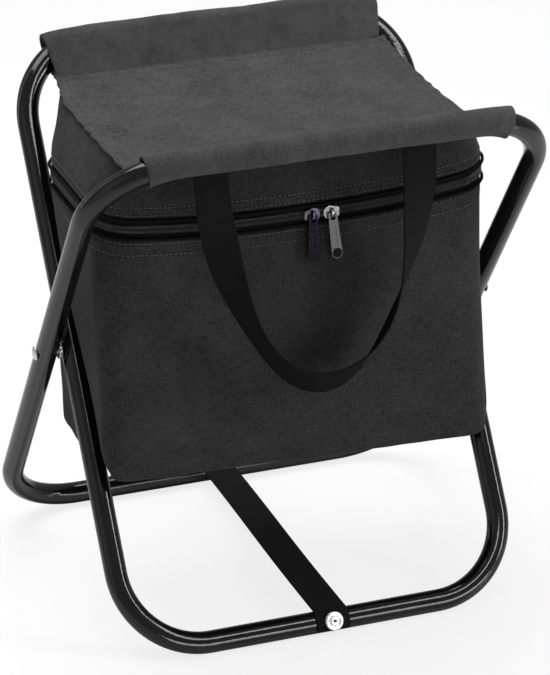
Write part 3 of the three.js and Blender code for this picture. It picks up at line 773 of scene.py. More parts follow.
@dataclass
class Skin:
    """A grid of points in millimetres that becomes one smooth mesh.

    Ring closes each row on itself, loop closes the last row on the first and caps fills both ends
    of a tube. From row flat_from on the texture lies in plan, as on the floor of a bag.
    """

    points: Array
    ring: bool = True
    loop: bool = False
    caps: bool = False
    flat_from: int | None = None

    def texture(self) -> Array:
        """Metres along the cloth for each grid place, one more each way where the grid closes."""
        grid = self.points
        if self.ring:
            grid = np.concatenate([grid, grid[:, :1]], axis=1)
        if self.loop:
            grid = np.concatenate([grid, grid[:1]], axis=0)
        across = np.linalg.norm(np.diff(grid, axis=1), axis=2).mean(axis=0)
        along = np.linalg.norm(np.diff(grid, axis=0), axis=2).mean(axis=1)
        runs = [np.concatenate([[0.0], np.cumsum(steps)]) for steps in (across, along)]
        return np.stack(np.meshgrid(*runs), axis=-1) * MM

    def faces(self) -> tuple[Array, Array]:
        """The quads as vertex numbers, and their corners in the texture grid."""
        rows, columns = self.points.shape[:2]
        spans = np.arange(rows - (not self.loop)), np.arange(columns - (not self.ring))
        i, j = (part.ravel() for part in np.meshgrid(*spans, indexing="ij"))
        corners = [(i, j), (i, j + 1), (i + 1, j + 1), (i + 1, j)]
        numbers = np.stack([(a % rows) * columns + b % columns for a, b in corners], axis=1)
        places = np.stack([np.stack(corner, axis=1) for corner in corners], axis=1)
        return numbers, places

    def build(self, name: str, outward: bool = True) -> Object:
        """Makes the object.

        Args:
            name: The piece's name.
            outward: Whether the faces keep the grid's own side; otherwise they are turned round.

        Returns:
            The new object, linked to the scene.
        """
        numbers, corners = self.faces()
        uv = self.texture()[corners[..., 0], corners[..., 1]]
        if self.flat_from is not None:
            plan = (self.points[..., :2] * MM).reshape(-1, 2)
            lying = corners[:, :, 0].min(axis=1) >= self.flat_from
            uv[lying] = plan[numbers[lying]]
        if not outward:
            numbers, uv = numbers[:, ::-1], uv[:, ::-1]
        faces, uv, points = numbers.tolist(), uv.reshape(-1, 2), self.points.reshape(-1, 3)
        if self.caps:
            columns = self.points.shape[1]
            for way, first in enumerate((0, len(points) - columns)):
                end = list(range(first, first + columns))
                faces.append(end if (way == 1) == outward else end[::-1])
                uv = np.vstack([uv, points[faces[-1]][:, :2] * MM])
        return mesh_object(name, points, faces, uv)


def mesh_object(
    name: str, points: Array, faces: Sequence[Sequence[int]], uv: Array | None = None
) -> Object:
    """Makes a smooth mesh object from points in millimetres.

    Args:
        name: The piece's name.
        points: The vertices.
        faces: Vertex numbers of each face.
        uv: Texture places of each face corner in metres, or None.

    Returns:
        The new object, linked to the scene.
    """
    mesh = bpy.data.meshes.new(name)
    mesh.from_pydata((points * MM).tolist(), [], faces)
    if uv is not None:
        layer = mesh.uv_layers.new(name="cloth_places")
        layer.uv.foreach_set("vector", np.asarray(uv, np.float32).ravel())
    mesh.shade_smooth()
    mesh.update()
    return linked(name, mesh)


def dressed(piece: Object, finish: Material, node: str = "", body: str = "") -> Object:
    """Gives a piece its material and its place among the CAD pieces.

    Args:
        piece: The piece.
        finish: Its material.
        node: The CAD node it stands for, if any.
        body: The body it rides on, where nothing else says so.

    Returns:
        The piece.
    """
    piece.data.materials.clear()
    piece.data.materials.append(finish)
    if body:
        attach(piece, body)
    if node:
        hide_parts(node)
    return piece


def flat_sheet(
    size: Place,
) -> None:
    """Reads a sheet's flat sides and does nothing with them.

    Args:
        size: Its flat sides in millimetres.
    """
    size[0] * MM
    size[1] * MM


def outwards(piece: Object) -> Object:
    """Turns the faces of a closed piece outwards, texture and all."""
    with worked(piece.data) as form:
        bmesh.ops.recalc_face_normals(form, faces=form.faces)
    return piece


def capped(name: str, sections: Array) -> Object:
    """A closed piece from the sections of a tube."""
    return outwards(Skin(sections, caps=True).build(name))


def sheet_of(name: str, rings: Array, thickness: float, flat_from: int | None = None) -> Object:
    """Makes a sheet from a stack of rings, its face away from their middle.

    Args:
        name: The piece's name.
        rings: The outer face's points.
        thickness: Millimetres behind the face.
        flat_from: The first row whose texture lies in plan.

    Returns:
        The sheet.
    """
    piece = Skin(rings, flat_from=flat_from).build(name)
    middle = Vector(rings.reshape(-1, 3).mean(axis=0)) * MM
    if sum((face.center - middle).dot(face.normal) for face in piece.data.polygons) < 0:
        with worked(piece.data) as form:
            bmesh.ops.reverse_faces(form, faces=form.faces)
    return thickened(piece, thickness)


def thickened(piece: Object, thickness: float) -> Object:
    """Gives a sheet its thickness, behind its face.

    Args:
        piece: The sheet.
        thickness: Its thickness in millimetres.

    Returns:
        The sheet.
    """
    solid = piece.modifiers.new("thickness", "SOLIDIFY")
    solid.thickness = thickness * MM
    solid.offset = -1.0
    solid.use_even_offset = False
    whole = evaluated(piece)
    piece.modifiers.clear()
    piece.data = whole
    return piece


def eased(piece: Object, width: float, segments: int = 3) -> Object:
    """Rounds a piece's sharp edges.

    Args:
        piece: The piece.
        width: The bevel's width in millimetres.
        segments: Its steps.

    Returns:
        The piece.
    """
    sharp = math.radians(28)
    piece.data.set_sharp_from_angle(angle=sharp)
    bevel = piece.modifiers.new("eased edges", "BEVEL")
    bevel.width = width * MM
    bevel.segments = segments
    bevel.limit_method = "ANGLE"
    bevel.angle_limit = sharp
    bevel.harden_normals = True
    return piece


def turned(
    name: str, profile: Sequence[Place], axis: Vector, foot: Vector, sides: int = 56
) -> Object:
    """Turns a profile round an axis.

    Args:
        name: The piece's name.
        profile: Distance along the axis and radius in millimetres, closed on the axis or itself.
        axis: The direction of the axis.
        foot: The place on the axis that distances are counted from.
        sides: Steps round the axis.

    Returns:
        The new object.
    """
    direction = axis.normalized()
    side = direction.orthogonal().normalized()
    turn = full_turn(sides)
    spokes = np.outer(np.cos(turn), side) + np.outer(np.sin(turn), direction.cross(side))
    base, ahead = np.array(foot), np.array(direction)
    rows = [base + ahead * along + spokes * radius for along, radius in profile]
    piece = Skin(np.array(rows)).build(name)
    with worked(piece.data) as form:
        bmesh.ops.remove_doubles(form, verts=form.verts, dist=1e-6)
        bmesh.ops.recalc_face_normals(form, faces=form.faces)
    piece.data.set_sharp_from_angle(angle=math.radians(38))
    return piece


def swept(route: Array, across: Array, section: Array) -> Array:
    """Carries a section along a route.

    Args:
        route: The route's points.
        across: The direction across the strap at each point.
        section: Pairs of distance across and out of the face.

    Returns:
        Rows of points, one row for each place on the route.
    """
    ahead = unit(np.gradient(route, axis=0))
    side = unit(across - (across * ahead).sum(axis=1, keepdims=True) * ahead)
    face = np.cross(ahead, side)
    wide, deep = section[None, :, :1], section[None, :, 1:]
    return route[:, None] + side[:, None] * wide + face[:, None] * deep


def strap_section(width: float, thickness: float, faces: int = 14) -> Array:
    """The outline of webbing: flat faces with a slight crown, and round edges.

    Args:
        width: Its width.
        thickness: Its thickness.
        faces: Steps across each face.

    Returns:
        The outline's points, across and out of the face.
    """
    half, edge = width / 2, thickness / 2
    face = np.linspace(-1, 1, faces) * (half - edge)
    crown = edge * (1.0 - 0.12 * (face / half) ** 2)
    turn = np.linspace(-math.pi / 2, math.pi / 2, 7)[1:-1]
    right = np.column_stack([half - edge + edge * np.cos(turn), edge * np.sin(turn)])
    low = np.column_stack([face, -crown])
    return np.vstack([low, right, -low, -right])


def webbing(name: str, route: Array, across: Array, width: float, thickness: float) -> Object:
    """A strap of webbing along a route."""
    return capped(name, swept(route, across, strap_section(width, thickness)))


@dataclass
class StitchRow:
    """Sewing thread along a line on the cloth: one bead of thread for each stitch."""

    length: float = 2.7
    gap: float = 0.8
    thread: float = 0.6
    sunk: float = 0.12
    around: int = 6
    along: int = 6

    def bead(self) -> tuple[Array, Array]:
        """One stitch along X with Z out of the cloth, and its faces; tips repeat a corner."""
        turn = np.linspace(0, math.pi, self.along + 1)[1:-1]
        spin = full_turn(self.around)
        swell = np.sin(turn)[:, None] ** 0.5 * self.thread / 2
        x = np.repeat(-np.cos(turn)[:, None] * self.length / 2, self.around, axis=1)
        body = np.stack([x, np.cos(spin) * swell, np.sin(spin) * swell], axis=-1).reshape(-1, 3)
        tips = [[end * self.length / 2, 0, -self.thread / 4] for end in (-1, 1)]
        first_tip, last_row, faces = len(body), len(body) - self.around, []
        for k in range(self.around):
            after = (k + 1) % self.around
            faces.append([k, first_tip, after, after])
            faces.append([last_row + after, first_tip + 1, last_row + k, last_row + k])
            for here in range(0, last_row, self.around):
                there = here + self.around
                faces.append([here + k, here + after, there + after, there + k])
        return np.vstack([body, tips]), np.array(faces)

    def sew(self, name: str, lines: Sequence[tuple[Array, Array]]) -> Object:
        """Sews along lines.

        Args:
            name: The piece's name.
            lines: For each row, its points and the directions out of the cloth.

        Returns:
            One object that holds every stitch.
        """
        bead, faces = self.bead()
        pitch, half = self.length + self.gap, self.length / 2
        points, numbers, start = [], [], 0
        for line, out in lines:
            run = distances(line)
            middles = np.arange(pitch / 2, run[-1] - pitch / 2, pitch)
            ends = [read_along(middles + step, run, line) for step in (half, -half)]
            ahead = unit(ends[0] - ends[1])
            up = read_along(middles, run, out)
            up = unit(up - (up * ahead).sum(axis=1, keepdims=True) * ahead)
            centre = read_along(middles, run, line) + up * (self.thread / 4 - self.sunk)
            frames = np.stack([ahead, np.cross(up, ahead), up], axis=1)
            points.append((centre[:, None] + bead @ frames).reshape(-1, 3))
            counts = start + np.arange(len(middles))[:, None, None] * len(bead)
            numbers.append((faces[None] + counts).reshape(-1, 4))
            start += len(points[-1])
        quads = [list(dict.fromkeys(face)) for face in np.vstack(numbers).tolist()]
        return mesh_object(name, np.vstack(points), quads)


# Sizes that several sub-assemblies share, in millimetres


@dataclass(frozen=True)
class StoolPlan:
    """The frame's geometry, the seam line under the hems, and the forms of bag and lid."""

    tube_radius: float = 8.0
    outer_width: float = 330.0
    inner_width: float = 291.6
    foot_span: float = 252.0
    bar_rise: float = 367.0
    bend_radius: float = 59.0
    cloth: float = 1.2
    seat_half: float = 131.0
    seat_sag: float = 3.0
    seat_cross_dip: float = 1.0
    seat_edge_curve: float = 3.5
    seat_rear_narrowing: float = 7.0
    seat_narrows_from: float = 50.0
    stitch_inset: float = 26.0
    stitch_drop: float = 17.5
    bag_half: float = 146.0
    bag_front: float = 66.0
    bag_rear: float = 60.0
    bag_corner: float = 25.0
    bag_low_corner: float = 10.5
    bag_low_lift: float = 1.5
    bag_low_slope: float = 5.0
    bag_front_belly: float = 14.0
    bag_rear_draw: float = 5.0
    bag_low_rear_corner: float = 34.0
    bag_height: float = 189.0
    bag_top: float = 301.0
    zip_height: float = 16.6
    lid_half: float = 129.0
    lid_front: float = 60.0
    lid_rear: float = 78.0
    lid_corner: float = 20.0
    lid_rear_corner: float = 9.0
    lid_panel_room: float = 9.0
    dent_depth: float = 10.6
    dent_core: float = 12.0
    dent_reach: float = 24.0
    zip_sag: float = 11.0
    sag_reach: float = 90.0
    sag_front: Place = (16.0, 56.0)
    sag_power: float = 2.4
    layer_gap: float = 0.3
    face_steps: int = 44
    side_steps: int = 40
    corner_steps: int = 10

    @property
    def foot_y(self) -> float:
        """Distance of each bottom bar from the middle."""
        return self.foot_span / 2

    @property
    def bar_high(self) -> float:
        """Height of the top bars."""
        return self.tube_radius + self.bar_rise

    @property
    def pivot(self) -> float:
        """Height of the pivot."""
        return (self.tube_radius + self.bar_high) / 2

    @property
    def leg_length(self) -> float:
        """Length of a loop between the middles of its bars."""
        return math.hypot(self.foot_span, self.bar_rise)

    @property
    def leg_tilt(self) -> float:
        """Angle of the legs from upright, in radians."""
        return math.atan2(self.foot_span, self.bar_rise)

    @property
    def stitch_y(self) -> float:
        """Distance of the seat's seams from the middle."""
        return self.foot_y - self.stitch_inset

    @property
    def stitch_z(self) -> float:
        """Height of the seat's seams."""
        return self.bar_high - self.stitch_drop

    @property
    def bag_floor(self) -> float:
        """Height of the bag's floor."""
        return self.bag_top - self.bag_height

    @property
    def zip_top(self) -> float:
        """Height of the zip's upper seam at the corners."""
        return self.bag_top + self.zip_height

    @property
    def zip_middle(self) -> float:
        """Height of the zip's coils at the corners."""
        return self.bag_top + self.zip_height / 2

    @property
    def lid_top(self) -> float:
        """Height where the skirt meets the middle of the seat."""
        return self.stitch_z - self.seat_sag - self.seat_cross_dip - self.cloth - self.layer_gap

    @property
    def girth(self) -> float:
        """Length of the way round the bag, its corners taken as sharp."""
        return 2 * (2 * self.bag_half + self.bag_front + self.bag_rear)

    def seat_surface(self, x: Array, y: Array) -> Array:
        """Height of the seat's upper face at a place."""
        along = 1 - (y / self.stitch_y) ** 2
        across = 1 - (x / self.seat_half) ** 2
        return self.stitch_z - self.seat_sag * along - self.seat_cross_dip * along * across

    def seat_edges(self, y: Array) -> tuple[Array, Array]:
        """The seat's side edges.

        Args:
            y: Distances from the middle towards the rear.

        Returns:
            The left edge and the right edge at each of them.
        """
        narrowed = smoothstep(y, self.seat_narrows_from, self.stitch_y)
        left = self.seat_rear_narrowing * narrowed - self.seat_half
        right = self.seat_half - self.seat_edge_curve * (1 - (y / self.stitch_y) ** 2)
        return left, right

    def leg_dent(self, x: Array, y: Array, z: Array) -> Array:
        """How far the slanted inner legs press the sides of the bag in.

        Args:
            x: Places across.
            y: Places towards the rear.
            z: Places up.

        Returns:
            Millimetres inwards.
        """
        away = np.abs(math.cos(self.leg_tilt) * y - math.sin(self.leg_tilt) * (z - self.pivot))
        leg = self.inner_width / 2 - self.tube_radius
        beside = smoothstep(np.abs(x), self.bag_half / 2, leg - self.bag_corner)
        return self.dent_depth * beside * (1 - smoothstep(away, self.dent_core, self.dent_reach))

    def sag(self, x: Array, y: Array, z: Array) -> Array:
        """How far the cloth hangs below its level on the front.

        Args:
            x: Places across.
            y: Places towards the rear.
            z: Places up.

        Returns:
            Millimetres downwards.
        """
        across = 1 - np.minimum(np.abs(x) / self.bag_half, 1) ** self.sag_power
        infront = smoothstep(-y, *self.sag_front)
        low = np.clip((z - self.bag_top + self.sag_reach) / self.sag_reach, 0, 1)
        high = np.clip((self.lid_top - z) / (self.lid_top - self.zip_top), 0, 1)
        return self.zip_sag * across * infront * low * high

    def outline(
        self, half: float, front: float, rear: float, corner: float, rear_corner: float
    ) -> tuple[Array, Array]:
        """A rounded rectangle in plan, from the right end of the rear face round by the left.

        Args:
            half: Half its width.
            front: Distance of its front from the middle.
            rear: Distance of its rear from the middle.
            corner: Radius of its front corners.
            rear_corner: Radius of its rear corners.

        Returns:
            The places in plan and the directions outwards.
        """
        places, outs = [], []

        def line(start: Place, end: Place, steps: int, out: Place) -> None:
            """Adds a straight side without its last point."""
            share = np.arange(steps)[:, None] / steps
            places.append(np.array(start) + (np.array(end) - np.array(start)) * share)
            outs.append(np.tile(out, (steps, 1)))

        def bend(x: float, y: float, radius: float, start: float) -> None:
            """Adds a quarter turn without its last point."""
            angle = start + np.arange(self.corner_steps) / self.corner_steps * (math.pi / 2)
            out = np.column_stack([np.cos(angle), np.sin(angle)])
            places.append(np.array([x, y]) + radius * out)
            outs.append(out)

        near, far = corner - front, rear - rear_corner
        line((half - rear_corner, rear), (rear_corner - half, rear), self.face_steps, (0, 1))
        bend(rear_corner - half, far, rear_corner, math.pi / 2)
        line((-half, far), (-half, near), self.side_steps, (-1, 0))
        bend(corner - half, near, corner, math.pi)
        line((corner - half, -front), (half - corner, -front), self.face_steps, (0, -1))
        bend(half - corner, near, corner, -math.pi / 2)
        line((half, near), (half, far), self.side_steps, (1, 0))
        bend(half - rear_corner, far, rear_corner, 0.0)
        return np.vstack(places), np.vstack(outs)

    def ring(self, plan: Sequence[float], z: float, inset: float) -> Array:
        """An outline at a height, drawn in by some inset, with the dents of the legs and the sag.

        Args:
            plan: Half width, front, rear, front corner and rear corner of the outline.
            z: Its height.
            inset: How far it is drawn in.

        Returns:
            The ring's points.
        """
        place, out = self.outline(*plan)
        x, y = place[:, 0], place[:, 1]
        push = self.leg_dent(x, y, z)
        across, along = x - np.sign(x) * push - inset * out[:, 0], y - inset * out[:, 1]
        return np.column_stack([across, along, z - self.sag(x, y, z)])

    def bag_ring(self, z: float, inset: float, fold: float = 0.0) -> Array:
        """The bag's outline at a height; it bellies out and grows sharper towards the floor.

        Args:
            z: The height.
            inset: How far it lies inside.
            fold: How far the bend above the floor has turned in.

        Returns:
            The ring's points.
        """
        down = min(max((self.bag_top - z) / self.bag_height, 0.0), 1.0)
        front = self.bag_front + self.bag_front_belly * down - fold
        rear = self.bag_rear - self.bag_rear_draw * down - fold
        corner = self.bag_corner + (self.bag_low_corner - self.bag_corner) * down
        rear_corner = self.bag_corner + (self.bag_low_rear_corner - self.bag_corner) * down
        points = self.ring((self.bag_half - fold, front, rear, corner, rear_corner), z, inset)
        slope = self.bag_low_lift - self.bag_low_slope * points[:, 0] / self.bag_half
        points[:, 2] += slope * down**3
        return points

    def lid_plan(self, share: float) -> tuple[float, ...]:
        """The lid's outline from 0 under the seat to 1 at the zip."""
        out = math.sin(share * math.pi / 2)
        pairs = [
            (self.lid_half, self.bag_half),
            (self.lid_front, self.bag_front),
            (self.lid_rear, self.bag_rear),
            (self.lid_corner, self.bag_corner),
            (self.lid_rear_corner, self.bag_corner),
        ]
        return tuple(low + (high - low) * out for low, high in pairs)

    def lid_ring(self, share: float, inset: float) -> Array:
        """The skirt's outline; its top follows the underside of the seat.

        Args:
            share: 0 under the seat to 1 at the zip.
            inset: How far it lies inside.

        Returns:
            The ring's points.
        """
        z = self.lid_top + (self.zip_top - self.lid_top) * share
        points = self.ring(self.lid_plan(share), z, inset)
        under = self.seat_surface(points[:, 0], points[:, 1]) - self.cloth - self.layer_gap
        points[:, 2] += (under - self.lid_top) * (1 - share)
        return points

    def zipped(self, count: int) -> tuple[int, int]:
        """The first place of the zip in an outline of count places, and the last one."""
        return self.face_steps + self.corner_steps // 2, count - self.corner_steps // 2

    def zip_line(self, rear: bool = False) -> tuple[Array, Array]:
        """The line of the coils, or the rest of the outline behind.

        Args:
            rear: Whether the hinge side is wanted.

        Returns:
            The points and the directions outwards.
        """
        plan = (self.bag_half, self.bag_front, self.bag_rear, self.bag_corner, self.bag_corner)
        points = self.ring(plan, self.zip_middle, 0.0)
        _, out = self.outline(*plan)
        outs = np.column_stack([out, np.zeros(len(out))])
        first, last = self.zipped(len(points))
        if not rear:
            return points[first : last + 1], outs[first : last + 1]
        order = np.r_[last : len(points), 0 : first + 1]
        return points[order], outs[order]


@dataclass(frozen=True)
class FoldAway:
    """Where the cloth's pieces ride; it does not bend or flatten them as the frame folds."""

    plan: StoolPlan
    squash_y: float = -0.0885
    squash_keep: float = 0.09
    seat_held: float = 2.0
    strap_held: float = 14.0

    def flatten(self, piece: Object, body: str) -> Object:
        """Lets a piece of the bag ride on a body, with a mesh of its own."""
        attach(piece, body)
        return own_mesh(piece)

    def bend(self, piece: Object, reach: float, level: float) -> Object:
        """Bakes a piece's place into its mesh; it does not turn with either loop.

        Args:
            piece: The piece.
            reach: Not used.
            level: Not used.

        Returns:
            The piece.
        """
        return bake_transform(piece)

    def bend_seat(self, piece: Object) -> Object:
        """Hands a piece of the seat to bend, which bakes its place into its mesh."""
        return self.bend(piece, self.plan.stitch_y - self.seat_held, self.plan.stitch_z)

    def bend_strap(self, piece: Object) -> Object:
        """Hands the floor strap to bend, which bakes its place into its mesh."""
        return self.bend(piece, self.strap_held - self.plan.foot_y, self.plan.tube_radius)


# Sub-assemblies


@dataclass
class FrameLoops:
    """The two bent tubes and the rivets they turn on."""

    plan: StoolPlan
    finishes: FinishSet
    bend_steps: int = 26
    around: int = 48
    shank: float = 5.0
    head: float = 10.0
    head_height: float = 1.8
    tail: float = 8.0
    tail_height: float = 1.3
    spacer: float = 13.0
    spacer_ease: float = 0.35
    clearance: float = 0.3
    leg_gap: float = 3.2

    def tube(self, width: float, lean: int) -> Array:
        """Rings of points along one loop.

        Args:
            width: The loop's width between tube middles.
            lean: 1 if its top leans back, -1 if it leans to the front.

        Returns:
            The rings.
        """
        plan = self.plan
        upward = np.array([0, lean * math.sin(plan.leg_tilt), math.cos(plan.leg_tilt)])
        sideways = np.array([1.0, 0, 0])
        normal = np.cross(sideways, upward)
        spin = full_turn(self.around)
        rings = []
        for quarter, (side_x, side_up) in enumerate([(1, 1), (-1, 1), (-1, -1), (1, -1)]):
            bend = np.array([0, 0, plan.pivot]) + sideways * side_x * (width / 2 - plan.bend_radius)
            bend = bend + upward * side_up * (plan.leg_length / 2 - plan.bend_radius)
            for step in range(self.bend_steps + 1):
                angle = (quarter + step / self.bend_steps) * math.pi / 2
                out = sideways * math.cos(angle) + upward * math.sin(angle)
                circle = np.outer(np.cos(spin), out) + np.outer(np.sin(spin), normal)
                rings.append(bend + out * plan.bend_radius + plan.tube_radius * circle)
        return np.array(rings)

    def build_tube(self, name: str, body: str, width: float, lean: int) -> None:
        """Builds one loop and lets it stand for its CAD node.

        Args:
            name: The piece's name.
            body: The body it rides on, which names the node.
            width: The loop's width.
            lean: Which way it leans.
        """
        piece = Skin(self.tube(width, lean), loop=True).build(name, outward=False)
        dressed(piece, self.finishes.paint, f"{body}_tube", body)

    def rivet_profile(self) -> list[Place]:
        """A domed head outside the outer leg, the shank and a spread tail inside the inner one."""
        plan, high = self.plan, self.tail_height
        tail = plan.inner_width / 2 - plan.tube_radius - self.clearance
        head = plan.outer_width / 2 + plan.tube_radius + self.clearance
        turn = np.linspace(0, math.pi / 2, 9)
        dome = [(head + self.head_height * math.cos(t), self.head / 2 * math.sin(t)) for t in turn]
        edge, shank = self.tail / 2, self.shank / 2
        spread = [(0.6, edge - 0.1), (1.0, edge - high * 0.6), (0.8, 1.2), (0.55, 0.0)]
        end = [(tail - high * share, radius) for share, radius in spread]
        return [*dome, (head, shank), (tail, shank), (tail, edge), *end]

    def spacer_profile(self) -> list[Place]:
        """A washer between the legs with eased rims."""
        low = self.plan.inner_width / 2 + self.plan.tube_radius + self.clearance
        high = low + self.leg_gap - 2 * self.clearance
        bore, rim, ease = self.shank / 2 + self.clearance, self.spacer / 2, self.spacer_ease
        outside = [(low, rim - ease), (low + ease, rim), (high - ease, rim), (high, rim - ease)]
        return [(low, bore), *outside, (high, bore), (low, bore)]

    def build(self) -> None:
        """Builds both loops, rivets and spacers."""
        self.build_tube("outer_loop", "outer_frame", self.plan.outer_width, -1)
        self.build_tube("inner_loop", "inner_frame", self.plan.inner_width, 1)
        foot = Vector((0, 0, self.plan.pivot))
        forms = {"rivet": self.rivet_profile(), "spacer": self.spacer_profile()}
        for word, side in (("left", -1), ("right", 1)):
            for kind, profile in forms.items():
                piece = turned(f"leg_{kind}_{word}", profile, Vector((side, 0, 0)), foot)
                node = f"pivot_{kind}_{word}"
                dressed(piece, self.finishes.rivet, node, "outer_frame")


class Bar(Enum):
    """Which top bar a hem wraps."""

    FRONT = -1
    REAR = 1


@dataclass
class Hem:
    """A sleeve of seat cloth round a top bar, drawn down to the seam at the seat's edge."""

    plan: StoolPlan
    bar: Bar
    width: float
    left: float
    right: float
    slack_share: float = 0.3
    end_lean: float = 4.0
    end_crown: float = 0.5
    overlap: float = 5.0
    clearance: float = 0.4
    stations: int = 110
    around: int = 104
    directions: int = 120
    pucker: float = 0.5
    drape: float = 0.7

    @property
    def straight(self) -> float:
        """Where the bar starts to bend, counted from its middle."""
        return self.width / 2 - self.plan.bend_radius

    def tail(self) -> Array:
        """The seam in section: across and up."""
        plan = self.plan
        away = self.bar.value * (plan.stitch_y + plan.cloth)
        return np.array([away, plan.stitch_z - plan.cloth / 2])

    def circles(self, x: float, step: float) -> list[tuple[float, float, float]]:
        """The circles that the cloth is drawn round at a place along the bar.

        Args:
            x: The place.
            step: How far inside the seam the cloth ends.

        Returns:
            Their middles and radii.
        """
        plan, side, tail = self.plan, self.bar.value, self.tail()
        turn = math.asin(min(max(abs(x) - self.straight, 0.0) / plan.bend_radius, 1.0))
        drop, stretch = plan.bend_radius * (1 - math.cos(turn)), 1 / math.cos(turn)
        bar = np.array([side * plan.foot_y, plan.bar_high])
        down = np.array([-side * math.sin(plan.leg_tilt), -math.cos(plan.leg_tilt)])
        bore = plan.tube_radius + self.clearance
        seam = tail - (tail - bar) / np.linalg.norm(tail - bar) * step
        slack, tube = bar + down * drop * self.slack_share, bar + down * drop
        spread = down * bore * (stretch - 1)
        return [(*slack, bore), (*(tube - spread), bore), (*(tube + spread), bore), (*seam, 0.0)]

    def section(self, x: float, thickness: float, step: float) -> Array:
        """The cloth's outline at a place along the bar, evenly spaced.

        Args:
            x: The place.
            thickness: How far the outline stands off the circles.
            step: How far inside the seam the cloth ends.

        Returns:
            The outline's points.
        """
        angle = full_turn(self.directions)
        out = np.column_stack([np.cos(angle), np.sin(angle)])
        circles = np.array(self.circles(x, step))
        best = circles[(out @ circles[:, :2].T + circles[:, 2]).argmax(axis=1)]
        flat = best[:, :2] + out * (best[:, 2:] + thickness)
        points = np.column_stack([np.full(len(flat), x), flat])
        beyond = (abs(x) - self.straight) / (abs(self.right) - self.straight)
        tail_z = self.tail()[1]
        height = (points[:, 2] - tail_z) / (self.plan.bar_high - tail_z)
        lean = math.copysign(self.end_lean, x) * min(max(beyond, 0.0), 1.0)
        points[:, 0] += lean * (height - 1)
        return resampled(points, self.around, closed=True)

    def folds(self, rings: Array) -> Array:
        """How far the sleeve's face stands out: puckers at the seam and slack between them.

        Args:
            rings: The sleeve's points.

        Returns:
            Millimetres at each point.
        """
        away = np.linalg.norm(rings[..., 1:] - self.tail(), axis=2)
        x = rings[..., 0]
        gather = np.sin(x / 2.1 + 1.3 * np.sin(x / 11.0)) * cloudy(rings * [1, 0.2, 0.2], 14.0, 3.1)
        slack = cloudy(rings * [1.0, 0.8, 0.6], 34.0, 7.7 + self.bar.value)
        slack = slack * smoothstep(away, 4.0, 16.0)
        fine = cloudy(rings, 9.0, 1.7) * 0.12
        return self.pucker * bell(away, 0.0, 9.0) * gather + self.drape * slack + fine

    def build(self, finish: Material) -> None:
        """Builds the sleeve.

        Args:
            finish: Its cloth.
        """
        word = self.bar.name.lower()
        body = {Bar.FRONT: "outer_frame", Bar.REAR: "inner_frame"}[self.bar]
        x = np.linspace(self.left, self.right, self.stations)
        outer = np.array([self.section(place, self.plan.cloth, 0.0) for place in x])
        inner = np.array([self.section(place, 0.0, self.overlap) for place in x])
        outer = outer + ring_normals(outer) * self.folds(outer)[..., None]
        rim, crown = (outer + inner) / 2, np.array([self.end_crown, 0, 0])
        rows = np.concatenate([outer, rim[-1:] + crown, inner[::-1], rim[:1] - crown])
        piece = outwards(Skin(rows, loop=True).build(f"{word}_hem_sleeve"))
        dressed(piece, finish, f"{word}_hem", body)
        size = (self.right - self.left, float(distances(outer[len(x) // 2])[-1]))
        flat_sheet(size)


